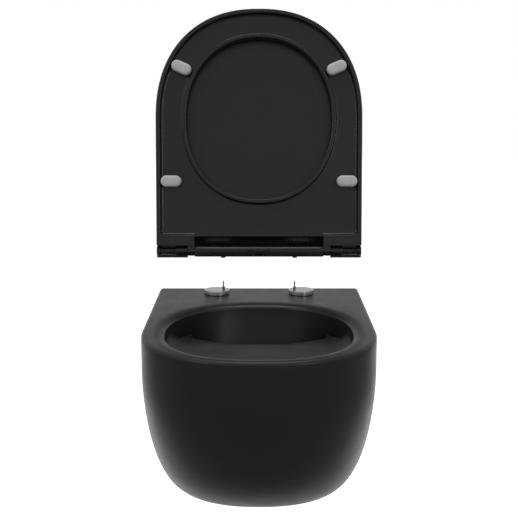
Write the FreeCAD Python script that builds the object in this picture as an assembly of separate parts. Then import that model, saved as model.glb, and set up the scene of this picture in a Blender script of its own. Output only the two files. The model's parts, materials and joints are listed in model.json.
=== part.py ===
"""Wall-hung rimless toilet pan with a sandwich seat and cover on a quick-release hinge bar.

Frame: +Z up, +Y into the wall, origin on the wall plane midway between the two wall studs.
The hinge bar stands clear above its two pins and the seat and cover are folded up.
"""
import FreeCAD
import Part
import math
import os

Vector = FreeCAD.Vector
os.makedirs("parts", exist_ok=True)

# ---------------------------------------------------------------- pan, overall
PAN_WIDTH = 374.0            # across the straight sides
PAN_REACH = 510.0            # wall to the front of the pan
PAN_NOSE = 198.0             # length of the rounded front
PAN_HEIGHT = 340.0           # top face to underside
PAN_SHOULDER = 62.0          # upright band below the top face
OUTLINE_POWER = 2.26         # squareness of the rounded front
PAN_TOP = 82.0               # top face above the wall studs
TOP_EDGE_RADIUS = 6.0
WALL_TRIM = 2.0              # the body is formed this far past the wall plane, then cut flat
CERAMIC_WALL = 13.0
FIT_GAP = 0.1                # clearance of pieces pushed into the ceramic
DECK_WALL = 16.0
BODY_PLAN_CORE = 100.0       # part of the reach that the underside keeps
BODY_SIDE_POWER = 2.9        # roundness of the cross-section
BODY_FRONT_POWER = 2.4       # roundness of the side profile

# ---------------------------------------------------------------- bowl and trap
RIM_SIDE = 37.0              # top face beside the opening
RIM_FRONT = 29.0             # top face in front of the opening
BOWL_REAR = 133.0            # wall to the rear edge of the opening
BOWL_WIDTH = PAN_WIDTH - 2 * RIM_SIDE
BOWL_LENGTH = PAN_REACH - BOWL_REAR - RIM_FRONT
BOWL_POWER = 2.3
FLOOR_DEPTH = 46.0           # shallow front floor below the top face, at the sump edge
FLOOR_SIDE_RISE = 52.0       # plan width of the curve from the floor up to the side rim
FLOOR_FRONT_RISE = 96.0      # plan length of the curve from the floor up to the front rim
FLOOR_WIDTH = BOWL_WIDTH - 2 * FLOOR_SIDE_RISE
FLOOR_FRONT = BOWL_REAR + BOWL_LENGTH - FLOOR_FRONT_RISE
FLOOR_SLOPE = 0.08           # fall of the floor towards the sump
SUMP_WIDTH = FLOOR_WIDTH - 6.0
SUMP_REAR = BOWL_REAR + 10.0
SUMP_LENGTH = 104.0
SUMP_FLARE = 7.0             # how far the sump's mouth spreads into the floor
BOWL_WALL = 12.0
TRAP_BORE = 31.0             # passage radius
TRAP_BEND = 50.0             # centre-line radius of its bends
TRAP_DOWN_LEG = 200.0        # wall to the falling leg
NECK_STEP = 2.0              # the neck of the sump is this much wider than the passage
OUTLET_BELOW_STUDS = 100.0
OUTLET_RADIUS = 51.0
OUTLET_BORE = 41.0
OUTLET_LENGTH = 48.0         # depth of the wide part of the outlet
SPIGOT_LENGTH = 54.0
INLET_ABOVE_STUDS = 35.0
INLET_BORE = 27.5
INLET_LENGTH = 48.0
INLET_SOCKET_WALL = 8.5
FLUSH_CHANNEL = 16.0         # channel radius from the inlet to the bowl
FLUSH_EXIT_DEPTH = 90.0      # where it enters the bowl, below the top face
CHANNEL_OVERLAP = 4.0        # how far the channel starts inside the inlet socket
CHANNEL_RUN_OUT = 12.0       # how far it runs past the rear of the sump
NOZZLE_SETBACK = 14.0        # from the channel's start to the nozzle
NOZZLE_SHORT = 26.0          # from the nozzle's tip to the channel's end
NOZZLE_WALL = 1.8            # at its rear end
NOZZLE_TIP_WALL = 5.0
SEAL_WALL = 3.5
SEAL_RIB = 2.0

# ---------------------------------------------------------------- wall fixing
STUD_SPACING = 180.0
STUD_HOLE = 13.0             # hole radius in the ceramic
STUD_BORE = 6.5              # bush bore radius for an M12 stud
BUSH_FLANGE = 18.0
BUSH_FLANGE_THICKNESS = 3.0
REAR_BAND_DEPTH = 24.0       # thickness of the rear band that the studs clamp
REAR_BAND_HEIGHT = 118.0
WASHER_RADIUS = 16.0
WASHER_THICKNESS = 2.5

# ---------------------------------------------------------------- seat fixings on the pan
FIXING_SPACING = 155.0
FIXING_FROM_WALL = 48.0
PIN_INSET = 12.5             # sideways from a disc's centre to its pin
PIN_OFFSET = 14.5            # forwards from a disc's centre to its pin
FIXING_HOLE = 7.0
FIXING_HOLE_REACH = 76.0     # how deep the fixing hole runs below the top face
DISC_RADIUS = 23.2
DISC_HEIGHT = 7.3
DISC_CHAMFER = 0.6
GASKET_THICKNESS = 1.0
GASKET_INSET = 0.5           # inside the disc's edge
GASKET_HOLE_GAP = 1.0        # around the stud
SLEEVE_LENGTH = 38.0
STUD_RADIUS = 4.0
STUD_TAIL = 4.0              # stud below the sleeve
SLEEVE_COLLAR = 3.0          # the spread end of the sleeve, beyond the hole
PIN_SPACING = FIXING_SPACING - 2 * PIN_INSET
PIN_FROM_WALL = FIXING_FROM_WALL + PIN_OFFSET
PIN_HEIGHT = 19.8
PIN_BASE_RADIUS = 2.7
PIN_BASE_HEIGHT = 8.5
PIN_BALL_ABOVE_BASE = 7.0    # from the top of the base to the middle of the ball
PIN_SUNK = 4.0               # how deep the pin and the stud sit in the disc
PIN_NECK_RADIUS = 1.3
PIN_BALL_RADIUS = 2.1
PIN_TIP_RADIUS = 0.8

# ---------------------------------------------------------------- hinge bar
BAR_LENGTH = 233.0
BAR_RADIUS = 9.25
BAR_DEPTH = 18.0
BAR_WALL = 1.6
BAR_LID = 1.5
STUB_DROP = 2.9              # how far the socket stubs stand below the bar
STUB_RADIUS = 4.2
SOCKET_BORE = 3.0
SEATING_GAP = 0.3
LIFT = 62.0                  # how far the bar stands above its seated place
OPEN_ANGLE = 100.4           # seat and cover, from closed to folded up
RUNNING_GAP = 0.05           # radial clearance of turning pairs
PLAY = 0.4                   # side play between pieces that turn

LATCH_THICKNESS = 1.2
LATCH_WIDTH = 7.0
LATCH_TRAVEL = 3.0
BUTTON_TRAVEL = 3.0
BUTTON_WIDTH = 41.0
BUTTON_FLAT = 21.6
BUTTON_HEIGHT = 11.0
BUTTON_PROUD = 1.6
BUTTON_CHAMFER = 1.4
WEDGE_BASE = 10.0            # half-width of the wedge where it leaves the button
WEDGE_DEPTH = 7.0            # its sides slope at 45 degrees
LATCH_END_GAP = 0.5          # from the middle plane to a latch's inner tip

# ---------------------------------------------------------------- seat and cover
SEAT_SIDE_OVERHANG = 0.1     # beyond the pan's side
SEAT_REAR_TAPER = 3.2        # how much narrower the seat is at its rear
SEAT_FRONT_SETBACK = 9.2     # behind the pan's front
SEAT_WIDTH = PAN_WIDTH + 2 * SEAT_SIDE_OVERHANG
SEAT_REAR_WIDTH = SEAT_WIDTH - SEAT_REAR_TAPER
SEAT_REACH = PAN_REACH - PIN_FROM_WALL - SEAT_FRONT_SETBACK
SEAT_NOSE = 198.0
SEAT_TOP = 9.0               # faces above and below the hinge axis, closed
SEAT_UNDERSIDE = -13.0
SEAT_WEB_UNDERSIDE = -3.0
SEAT_REAR = 9.9              # hinge axis to the rear face of the corner blocks
CORNER_BLOCK = 19.0          # solid corners behind the seat's hollow
SEAT_REAR_WEB = 29.0         # hinge axis to the rear edge between the blocks
LIP = 7.4
RING_SIDE = 55.1             # width of the ring beside the opening
RING_FRONT = 52.4
OPENING_REAR = 93.3          # hinge axis to the rear of the opening
OPENING_LENGTH = SEAT_REACH - OPENING_REAR - RING_FRONT
OPENING_WIDTH = SEAT_WIDTH - 2 * RING_SIDE
OPENING_POWER = 2.15
COVER_UNDERSIDE = 9.8
COVER_TOP = 22.0
COVER_REAR = -8.5
COVER_EDGE = 12.0
COVER_POCKET = 4.5
COVER_HINGE_RELIEF = 2.5     # extra hollow over the hinge bar
COVER_EDGE_RADIUS = 5.0
SEAT_EDGE_RADIUS = 1.5

KNUCKLE_RADIUS = 9.0
SEAT_KNUCKLE = 12.4          # lengths along the hinge axis
COVER_KNUCKLE = 21.8
BARREL_RECESS = 27.0
SPINDLE_RADIUS = 4.0
SPINDLE_IN_DAMPER = 12.0
SPINDLE_IN_BARREL = 23.0
BUSH_WALL = 2.0
BARREL_WALL = 2.5
DAMPER_WALL = 2.4
DAMPER_FROM_PIN = 11.9       # from a pin's axis to the inner end of the damper
BUTTON_GAP = 0.2
BUSH_RADIUS = SPINDLE_RADIUS + BUSH_WALL
BARREL_RADIUS = SPINDLE_RADIUS + BARREL_WALL
DAMPER_RADIUS = SPINDLE_RADIUS + DAMPER_WALL
DAMPER_LENGTH = BAR_LENGTH / 2 - BAR_WALL - PIN_SPACING / 2 - DAMPER_FROM_PIN

BUMPER_LENGTH = 37.4
BUMPER_WIDTH = 20.6
BUMPER_FROM_SIDE = 28.1      # rear pads, in from the seat's side
BUMPER_FROM_AXIS = 126.0
FRONT_BUMPER_FROM_SIDE = 46.7
FRONT_BUMPER_FROM_FRONT = 106.8
FRONT_BUMPER_TILT = 23.0     # its outer end leans towards the front
BUMPER_PLUG = 3.0            # depth of the plug in the seat's web
BUMPER_PLUG_INSET = 2.0
BUFFER_RADIUS = 5.0
BUFFER_STEM = 3.0            # depth of the stem in the cover
BUFFER_STEM_INSET = 1.5
BUFFER_FROM_SIDE = 27.1
BUFFER_FROM_AXIS = 60.0
FRONT_BUFFER_FROM_SIDE = 67.1
FRONT_BUFFER_FROM_FRONT = 66.3

# ---------------------------------------------------------------- worked out
OUTLET_Z = -OUTLET_BELOW_STUDS
INLET_Z = INLET_ABOVE_STUDS
DISC_TOP = PAN_TOP + GASKET_THICKNESS + DISC_HEIGHT
AXIS_Y = -PIN_FROM_WALL
AXIS_Z = DISC_TOP + SEATING_GAP + STUB_DROP + BAR_RADIUS
BAR_FRONT = AXIS_Y - BAR_DEPTH / 2
BUTTON_BACK = AXIS_Y - LATCH_WIDTH / 2 - BUTTON_TRAVEL - SEATING_GAP
BAR_END = BAR_LENGTH / 2
SEAT_KNUCKLE_START = BAR_END + PLAY
SEAT_KNUCKLE_END = SEAT_KNUCKLE_START + SEAT_KNUCKLE
COVER_KNUCKLE_START = SEAT_KNUCKLE_END + PLAY
COVER_KNUCKLE_END = COVER_KNUCKLE_START + COVER_KNUCKLE
RECESS_END = COVER_KNUCKLE_END + BARREL_RECESS
SPINDLE_END = COVER_KNUCKLE_END + SPINDLE_IN_BARREL
SEAT_REAR_HALF = SEAT_REAR_WIDTH / 2
SEAT_HALF = SEAT_WIDTH / 2
BUMPER_PLACES = {
    "rear": (SEAT_HALF - BUMPER_FROM_SIDE, BUMPER_FROM_AXIS, 0.0),
    "front": (SEAT_HALF - FRONT_BUMPER_FROM_SIDE, SEAT_REACH - FRONT_BUMPER_FROM_FRONT, FRONT_BUMPER_TILT),
}
BUFFER_PLACES = {
    "rear": (SEAT_HALF - BUFFER_FROM_SIDE, BUFFER_FROM_AXIS),
    "front": (SEAT_HALF - FRONT_BUFFER_FROM_SIDE, SEAT_REACH - FRONT_BUFFER_FROM_FRONT),
}
SIDES = {"left": -1, "right": 1}


def save(shape, node):
    """Write one node, checking that it is whole."""
    solids = shape.Solids
    if not solids or not all(s.isValid() for s in solids):
        raise RuntimeError(node + " is not a valid solid")
    shape = solids[0] if len(solids) == 1 else Part.makeCompound(solids)
    shape.exportStep("parts/" + node + ".step")


def box(x0, x1, y0, y1, z0, z1):
    return Part.makeBox(x1 - x0, y1 - y0, z1 - z0, Vector(x0, y0, z0))


def rod(radius, start, end):
    start, end = Vector(*start), Vector(*end)
    return Part.makeCylinder(radius, (end - start).Length, start, end - start)


def tube(outer, inner, start, end):
    return rod(outer, start, end).cut(rod(inner, start, end))


def spread(a, b, count):
    """Evenly spaced values from a to b."""
    return [a + (b - a) * i / (count - 1) for i in range(count)]


def power_arc(half_width, depth, power, start, end, count):
    """Points of a superellipse, from angle start to angle end in degrees."""
    points = []
    for angle in spread(start, end, count):
        c, s = math.cos(math.radians(angle)), math.sin(math.radians(angle))
        x = math.copysign(abs(c) ** (2 / power), c) * half_width
        y = math.copysign(abs(s) ** (2 / power), s) * depth
        points.append((x, y))
    return points


def d_outline(half_width, reach, nose, rear, z, rear_half=None, power=OUTLINE_POWER):
    """A D-shaped wire: a straight rear, two sides and a rounded front, at distances from the wall or axis."""
    rear_half = half_width if rear_half is None else rear_half
    start = reach - nose
    arc = [Vector(x, -start - y, z) for x, y in power_arc(half_width, nose, power, 0, 180, 33)]
    front = Part.BSplineCurve()
    front.interpolate(Points=arc, InitialTangent=Vector(0, -1, 0), FinalTangent=Vector(0, 1, 0))
    right_rear = Vector(rear_half, -rear, z)
    left_rear = Vector(-rear_half, -rear, z)
    edges = [Part.LineSegment(right_rear, arc[0]).toShape(), front.toShape()]
    edges.append(Part.LineSegment(arc[-1], left_rear).toShape())
    edges.append(Part.LineSegment(left_rear, right_rear).toShape())
    return Part.Wire(edges)


def oval(half_width, rear, length, z, power, slope=0.0):
    """A closed superellipse wire that may rise towards the front by slope."""
    centre = rear + length / 2
    points = []
    for x, y in power_arc(half_width, length / 2, power, 0, 360, 49)[:-1]:
        points.append(Vector(x, -centre - y, z + slope * y))
    curve = Part.BSplineCurve()
    curve.interpolate(Points=points, PeriodicFlag=True)
    return Part.Wire([curve.toShape()])


def plate(wire, low, high):
    """The wire's outline as a flat plate between two heights, where the wire lies at height 0."""
    face = Part.Face(wire)
    solid = face.extrude(Vector(0, 0, high - low))
    solid.translate(Vector(0, 0, low))
    return solid


def flat_edges(shape, z):
    """Edges that lie wholly at height z."""
    return [e for e in shape.Edges if abs(e.BoundBox.ZMin - z) < 0.01 and abs(e.BoundBox.ZMax - z) < 0.01]


# ---------------------------------------------------------------- the pan
def body_section(fraction, inset):
    """Plan outline of the body at a fraction of the depth below its shoulder."""
    side = (1 - fraction ** BODY_SIDE_POWER) ** (1 / BODY_SIDE_POWER)
    front = (1 - fraction ** BODY_FRONT_POWER) ** (1 / BODY_FRONT_POWER)
    half = PAN_WIDTH / 2 * side - inset
    reach = BODY_PLAN_CORE + (PAN_REACH - BODY_PLAN_CORE) * front - inset
    nose = min(PAN_NOSE * reach / PAN_REACH, reach * 0.8)
    z = PAN_TOP - PAN_SHOULDER - (PAN_HEIGHT - PAN_SHOULDER - inset) * fraction
    return d_outline(half, reach, nose, -WALL_TRIM, z)


def body_solid(inset, top):
    """The outer form of the pan, or its inner form with an inset."""
    half, reach = PAN_WIDTH / 2 - inset, PAN_REACH - inset
    shoulder = [top, top - (top - PAN_TOP + PAN_SHOULDER) / 2]
    wires = [d_outline(half, reach, PAN_NOSE * reach / PAN_REACH, -WALL_TRIM, z) for z in shoulder]
    wires += [body_section(f, inset) for f in (0.0, 0.22, 0.42, 0.6, 0.75, 0.87, 0.95, 0.985)]
    return Part.makeLoft(wires, True, False)


def bowl_solid(grow, top):
    """The hollow of the bowl, or the outside of its ceramic with grow."""
    half, length = BOWL_WIDTH / 2, BOWL_LENGTH
    floor_half = FLOOR_WIDTH / 2
    floor_rear = SUMP_REAR
    floor_length = FLOOR_FRONT - floor_rear
    mid_slope = FLOOR_SLOPE / 2
    floor_z = PAN_TOP - FLOOR_DEPTH + FLOOR_SLOPE * floor_length / 2 - grow
    steps = [
        (half, BOWL_REAR, length, top, 0.0),
        (half - 1.0, BOWL_REAR + 1.0, length - 2.0, PAN_TOP - 8.0, 0.0),
        (half - 6.0, BOWL_REAR + 3.0, length - 12.0, PAN_TOP - 20.0 - grow / 2, mid_slope / 2),
        (half - 18.0, BOWL_REAR + 6.0, length - 34.0, PAN_TOP - 31.0 - grow / 2, mid_slope),
        (floor_half, floor_rear, floor_length, floor_z, FLOOR_SLOPE),
    ]
    wires = [oval(h + grow, r - grow, ln + 2 * grow, z, BOWL_POWER, s) for h, r, ln, z, s in steps]
    dish = Part.makeLoft(wires, True, False)
    sump_z = PAN_TOP - FLOOR_DEPTH
    neck_rear = TRAP_DOWN_LEG - TRAP_BORE
    sump_half = SUMP_WIDTH / 2
    sump_steps = [
        (sump_half + SUMP_FLARE, SUMP_REAR + SUMP_FLARE, SUMP_LENGTH, sump_z + 8.0),
        (sump_half, SUMP_REAR + 2.0, SUMP_LENGTH - 2.0, sump_z - 8.0),
        (sump_half - 5.0, SUMP_REAR + 3.0, SUMP_LENGTH - 8.0, sump_z - 30.0),
        (sump_half - 22.0, SUMP_REAR + 8.0, SUMP_LENGTH - 18.0, sump_z - 80.0),
        (TRAP_BORE + 14.0, neck_rear - 10.0, 2 * TRAP_BORE + 20.0, sump_z - 135.0),
        (TRAP_BORE + NECK_STEP, neck_rear - NECK_STEP, 2 * (TRAP_BORE + NECK_STEP), OUTLET_Z - TRAP_BEND),
    ]
    wires = [oval(h + grow, r - grow, ln + 2 * grow, z, 2.0) for h, r, ln, z in sump_steps]
    sump = Part.makeLoft(wires, True, False)
    return dish.fuse(sump)


def trap_solid(radius, end_y):
    """The passage from the bottom of the sump to the outlet."""
    down_y, up_y = -TRAP_DOWN_LEG, -TRAP_DOWN_LEG + 2 * TRAP_BEND
    low_z = OUTLET_Z - TRAP_BEND - 8.0
    top_z = OUTLET_Z - TRAP_BEND
    start_z = top_z + 9.0
    turn = TRAP_BEND * math.sqrt(0.5)
    mid_y = (down_y + up_y) / 2
    path = Part.Wire([
        Part.LineSegment(Vector(0, down_y, start_z), Vector(0, down_y, low_z)).toShape(),
        Part.Arc(
            Vector(0, down_y, low_z),
            Vector(0, mid_y, low_z - TRAP_BEND),
            Vector(0, up_y, low_z),
        ).toShape(),
        Part.LineSegment(Vector(0, up_y, low_z), Vector(0, up_y, top_z)).toShape(),
        Part.Arc(
            Vector(0, up_y, top_z),
            Vector(0, up_y + TRAP_BEND - turn, top_z + turn),
            Vector(0, up_y + TRAP_BEND, OUTLET_Z),
        ).toShape(),
        Part.LineSegment(Vector(0, up_y + TRAP_BEND, OUTLET_Z), Vector(0, end_y, OUTLET_Z)).toShape(),
    ])
    circle = Part.Wire([Part.Circle(Vector(0, down_y, start_z), Vector(0, 0, -1), radius).toShape()])
    return path.makePipeShell([circle], True, True)


def flush_axis():
    """Start and end of the channel from the inlet socket to the bowl."""
    start = (0, -INLET_LENGTH + CHANNEL_OVERLAP, INLET_Z)
    end = (0, -SUMP_REAR - CHANNEL_RUN_OUT, PAN_TOP - FLUSH_EXIT_DEPTH)
    return start, end


def make_pan():
    beyond_wall = box(-PAN_WIDTH, PAN_WIDTH, 0, 2 * WALL_TRIM, PAN_TOP - 2 * PAN_HEIGHT, PAN_TOP + 1)
    outer = body_solid(0.0, PAN_TOP).cut(beyond_wall)
    outer = outer.makeFillet(TOP_EDGE_RADIUS, top_rim(outer))
    cavity = body_solid(CERAMIC_WALL, PAN_TOP - DECK_WALL)
    band = box(-PAN_WIDTH, PAN_WIDTH, -REAR_BAND_DEPTH, 0, PAN_TOP - REAR_BAND_HEIGHT, PAN_TOP)
    socket_end = -INLET_LENGTH - INLET_SOCKET_WALL
    start, end = flush_axis()
    kept = [bowl_solid(BOWL_WALL, PAN_TOP), band, trap_solid(TRAP_BORE + BOWL_WALL, -OUTLET_LENGTH)]
    kept.append(rod(OUTLET_RADIUS, (0, -SPIGOT_LENGTH, OUTLET_Z), (0, 0, OUTLET_Z)))
    kept.append(rod(INLET_BORE + INLET_SOCKET_WALL, (0, socket_end, INLET_Z), (0, 0, INLET_Z)))
    kept.append(rod(FLUSH_CHANNEL + BOWL_WALL, start, end))
    for wall in kept:
        cavity = cavity.cut(wall)
    pan = outer.cut(cavity)
    cuts = [bowl_solid(0.0, PAN_TOP + 1.0), trap_solid(TRAP_BORE, -OUTLET_LENGTH)]
    cuts.append(rod(OUTLET_BORE, (0, -OUTLET_LENGTH, OUTLET_Z), (0, 1, OUTLET_Z)))
    cuts.append(rod(INLET_BORE, (0, -INLET_LENGTH, INLET_Z), (0, 1, INLET_Z)))
    cuts.append(rod(FLUSH_CHANNEL, start, end))
    for side in SIDES.values():
        x = side * STUD_SPACING / 2
        cuts.append(rod(STUD_HOLE, (x, -REAR_BAND_DEPTH - 60.0, 0), (x, 1, 0)))
        x = side * FIXING_SPACING / 2
        low = PAN_TOP - FIXING_HOLE_REACH
        cuts.append(rod(FIXING_HOLE, (x, -FIXING_FROM_WALL, low), (x, -FIXING_FROM_WALL, PAN_TOP + 1)))
    for cut in cuts:
        pan = pan.cut(cut)
    return max(pan.Solids, key=lambda s: s.Volume)


def top_rim(outer):
    """The rounded front and side edges of the top face."""
    edges = flat_edges(outer, PAN_TOP)
    return [e for e in edges if e.BoundBox.YMin < -1.0]


def make_wall_fixing(side):
    x = side * STUD_SPACING / 2
    inner_face = -REAR_BAND_DEPTH
    bush = rod(STUD_HOLE - 2 * FIT_GAP, (x, inner_face, 0), (x, 0, 0))
    bush = bush.fuse(rod(BUSH_FLANGE, (x, inner_face - BUSH_FLANGE_THICKNESS, 0), (x, inner_face, 0)))
    bush = bush.cut(rod(STUD_BORE, (x, inner_face - 50, 0), (x, 10, 0)))
    face = inner_face - BUSH_FLANGE_THICKNESS
    washer = tube(WASHER_RADIUS, STUD_BORE, (x, face - WASHER_THICKNESS, 0), (x, face, 0))
    return bush, washer


def make_inlet_seal():
    """Rubber sleeve in the mouth of the inlet socket."""
    inner = INLET_BORE - SEAL_WALL
    lip = tube(INLET_BORE, inner, (0, -INLET_LENGTH, INLET_Z), (0, -SEAL_RIB, INLET_Z))
    rib_end = -INLET_LENGTH + 2 * SEAL_RIB
    rib = tube(INLET_BORE, inner - SEAL_RIB, (0, -INLET_LENGTH, INLET_Z), (0, rib_end, INLET_Z))
    return lip.fuse(rib)


def make_nozzle():
    """Plastic flush nozzle lining the channel."""
    start, end = [Vector(*p) for p in flush_axis()]
    along = (end - start).normalize()
    first = start + along * NOZZLE_SETBACK
    last = end - along * NOZZLE_SHORT
    length = (last - first).Length
    outer = Part.makeCylinder(FLUSH_CHANNEL - FIT_GAP, length, first, along)
    rear_bore, tip_bore = FLUSH_CHANNEL - NOZZLE_WALL, FLUSH_CHANNEL - NOZZLE_TIP_WALL
    return outer.cut(Part.makeCone(rear_bore, tip_bore, length, first, along))


# ---------------------------------------------------------------- fixings that carry the hinge bar
def make_disc(side):
    x, y = side * FIXING_SPACING / 2, -FIXING_FROM_WALL
    low = PAN_TOP + GASKET_THICKNESS
    disc = rod(DISC_RADIUS, (x, y, low), (x, y, DISC_TOP))
    disc = disc.makeChamfer(DISC_CHAMFER, flat_edges(disc, DISC_TOP))
    pin_x, pin_y = side * PIN_SPACING / 2, -PIN_FROM_WALL
    disc = disc.cut(rod(STUD_RADIUS, (x, y, low - 1), (x, y, low + PIN_SUNK)))
    return disc.cut(rod(PIN_BASE_RADIUS, (pin_x, pin_y, DISC_TOP - PIN_SUNK), (pin_x, pin_y, DISC_TOP + 1)))


def make_disc_stud(side):
    x, y = side * FIXING_SPACING / 2, -FIXING_FROM_WALL
    low = PAN_TOP - SLEEVE_LENGTH - STUD_TAIL
    return rod(STUD_RADIUS, (x, y, low), (x, y, PAN_TOP + GASKET_THICKNESS + PIN_SUNK))


def make_sleeve(side):
    x, y = side * FIXING_SPACING / 2, -FIXING_FROM_WALL
    inner = STUD_RADIUS + RUNNING_GAP
    sleeve = tube(FIXING_HOLE - FIT_GAP, inner, (x, y, PAN_TOP - SLEEVE_LENGTH), (x, y, PAN_TOP))
    low = PAN_TOP - SLEEVE_LENGTH
    collar = tube(FIXING_HOLE + SLEEVE_COLLAR, inner, (x, y, low), (x, y, PAN_TOP - DECK_WALL))
    return sleeve.fuse(collar)


def make_gasket(side):
    x, y = side * FIXING_SPACING / 2, -FIXING_FROM_WALL
    top = PAN_TOP + GASKET_THICKNESS - FIT_GAP
    return tube(DISC_RADIUS - GASKET_INSET, STUD_RADIUS + GASKET_HOLE_GAP, (x, y, PAN_TOP), (x, y, top))


def make_pin(side):
    """The turned pin: foot, neck, ball and thin tip."""
    x, y = side * PIN_SPACING / 2, -PIN_FROM_WALL
    ball_z = DISC_TOP + PIN_BASE_HEIGHT + PIN_BALL_ABOVE_BASE
    pin = rod(PIN_BASE_RADIUS, (x, y, DISC_TOP - PIN_SUNK), (x, y, DISC_TOP + PIN_BASE_HEIGHT))
    pin = pin.fuse(rod(PIN_NECK_RADIUS, (x, y, DISC_TOP), (x, y, ball_z)))
    pin = pin.fuse(Part.makeSphere(PIN_BALL_RADIUS, Vector(x, y, ball_z)))
    return pin.fuse(rod(PIN_TIP_RADIUS, (x, y, ball_z), (x, y, DISC_TOP + PIN_HEIGHT)))


# ---------------------------------------------------------------- hinge bar, modelled seated
def bar_form(inset, x0, x1):
    """The bar's section, round above and square below, as a prism."""
    radius = BAR_RADIUS - inset
    half = BAR_DEPTH / 2 - inset
    upper = rod(radius, (x0, AXIS_Y, AXIS_Z), (x1, AXIS_Y, AXIS_Z))
    lower = box(x0, x1, AXIS_Y - half, AXIS_Y + half, AXIS_Z - radius, AXIS_Z)
    return upper.fuse(lower)


def button_form(grow):
    """The release button's outline in the front of the bar, with chamfered ends."""
    front, back = BAR_FRONT - BUTTON_PROUD - grow, BUTTON_BACK + grow
    flat, full = BUTTON_FLAT / 2 + grow, BUTTON_WIDTH / 2 + grow
    shoulder = front + BUTTON_CHAMFER
    points = [(-full, back), (-full, shoulder), (-flat, front), (flat, front), (full, shoulder), (full, back)]
    wire = Part.makePolygon([Vector(x, y, 0) for x, y in points + points[:1]])
    half = BUTTON_HEIGHT / 2 + grow
    return plate(wire, AXIS_Z - half, AXIS_Z + half)


def latch_plane():
    """Heights of the latch strips' two faces, just below the pins' balls."""
    ball_low = DISC_TOP + PIN_BASE_HEIGHT + PIN_BALL_ABOVE_BASE - PIN_BALL_RADIUS
    top = ball_low - 0.2
    return top - LATCH_THICKNESS, top


def make_bar():
    bar = bar_form(0.0, -BAR_END, BAR_END)
    inner = bar_form(BAR_WALL, -BAR_END + BAR_WALL, BAR_END - BAR_WALL)
    half = BAR_DEPTH / 2 - BAR_WALL
    underside = AXIS_Z - BAR_RADIUS
    mouth = box(-BAR_END + BAR_WALL, BAR_END - BAR_WALL, AXIS_Y - half, AXIS_Y + half, underside, AXIS_Z)
    bar = bar.cut(inner).cut(mouth)
    for side in SIDES.values():
        x0, x1 = side * (BAR_END - 2 * BAR_WALL), side * (BAR_END + 1)
        bar = bar.cut(rod(SPINDLE_RADIUS, (x0, AXIS_Y, AXIS_Z), (x1, AXIS_Y, AXIS_Z)))
    for travel in spread(0, BUTTON_TRAVEL, 3):
        window = button_form(BUTTON_GAP)
        window.translate(Vector(0, travel, 0))
        bar = bar.cut(window)
    return bar


def make_bar_lid():
    """The plate that closes the bar from below, with the two socket stubs."""
    half = BAR_DEPTH / 2 - BAR_WALL - FIT_GAP
    low = AXIS_Z - BAR_RADIUS
    end = BAR_END - BAR_WALL - FIT_GAP
    lid = box(-end, end, AXIS_Y - half, AXIS_Y + half, low, low + BAR_LID)
    for side in SIDES.values():
        x = side * PIN_SPACING / 2
        lid = lid.cut(rod(STUB_RADIUS, (x, AXIS_Y, low - 1), (x, AXIS_Y, low + BAR_LID + 1)))
    return lid


def make_socket(side):
    """The bush that drops over a pin."""
    x = side * PIN_SPACING / 2
    low = AXIS_Z - BAR_RADIUS
    flange_top = low + BAR_LID + 1.5
    bush = rod(STUB_RADIUS, (x, AXIS_Y, low - STUB_DROP), (x, AXIS_Y, flange_top))
    bush = bush.fuse(rod(STUB_RADIUS + 1.6, (x, AXIS_Y, low + BAR_LID), (x, AXIS_Y, flange_top)))
    return bush.cut(rod(SOCKET_BORE, (x, AXIS_Y, low - STUB_DROP - 1), (x, AXIS_Y, flange_top + 1)))


def make_button():
    """The push face with a wedge behind it that spreads the latches."""
    low, high = latch_plane()
    tip, end = WEDGE_BASE - WEDGE_DEPTH, BUTTON_BACK + WEDGE_DEPTH
    points = [(-WEDGE_BASE, BUTTON_BACK), (WEDGE_BASE, BUTTON_BACK), (tip, end), (-tip, end)]
    wire = Part.makePolygon([Vector(x, y, 0) for x, y in points + points[:1]])
    wedge = plate(wire, low - 0.6, high + 0.6)
    return button_form(0.0).fuse(wedge)


def make_latch(side):
    """A strip whose keyhole grips the neck of a pin until the wedge pushes it outwards."""
    low, high = latch_plane()
    front, back = AXIS_Y - LATCH_WIDTH / 2, AXIS_Y + LATCH_WIDTH / 2
    slope_foot = WEDGE_BASE + SEATING_GAP * math.sqrt(2) + BUTTON_BACK
    pin_x = PIN_SPACING / 2
    outer = pin_x + 5.0
    points = [(slope_foot - front, front), (outer, front), (outer, back)]
    points += [(LATCH_END_GAP, back), (LATCH_END_GAP, slope_foot - LATCH_END_GAP)]
    wire = Part.makePolygon([Vector(x, y, 0) for x, y in points + points[:1]])
    strip = plate(wire, low, high)
    grip, release = PIN_NECK_RADIUS + 0.4, PIN_BALL_RADIUS + 0.6
    release_x = pin_x - LATCH_TRAVEL
    strip = strip.cut(rod(grip, (pin_x, AXIS_Y, low - 1), (pin_x, AXIS_Y, high + 1)))
    strip = strip.cut(rod(release, (release_x, AXIS_Y, low - 1), (release_x, AXIS_Y, high + 1)))
    strip = strip.cut(box(release_x, pin_x, AXIS_Y - grip, AXIS_Y + grip, low - 1, high + 1))
    return strip if side > 0 else strip.mirror(Vector(0, 0, 0), Vector(1, 0, 0))


def make_damper(side):
    """Soft-closing cartridge in the end of the bar."""
    start, end = side * (BAR_END - BAR_WALL - DAMPER_LENGTH), side * (BAR_END - BAR_WALL)
    case = rod(DAMPER_RADIUS, (start, AXIS_Y, AXIS_Z), (end, AXIS_Y, AXIS_Z))
    bore_start = end - side * SPINDLE_IN_DAMPER
    return case.cut(rod(SPINDLE_RADIUS, (bore_start, AXIS_Y, AXIS_Z), (end + side, AXIS_Y, AXIS_Z)))


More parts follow.
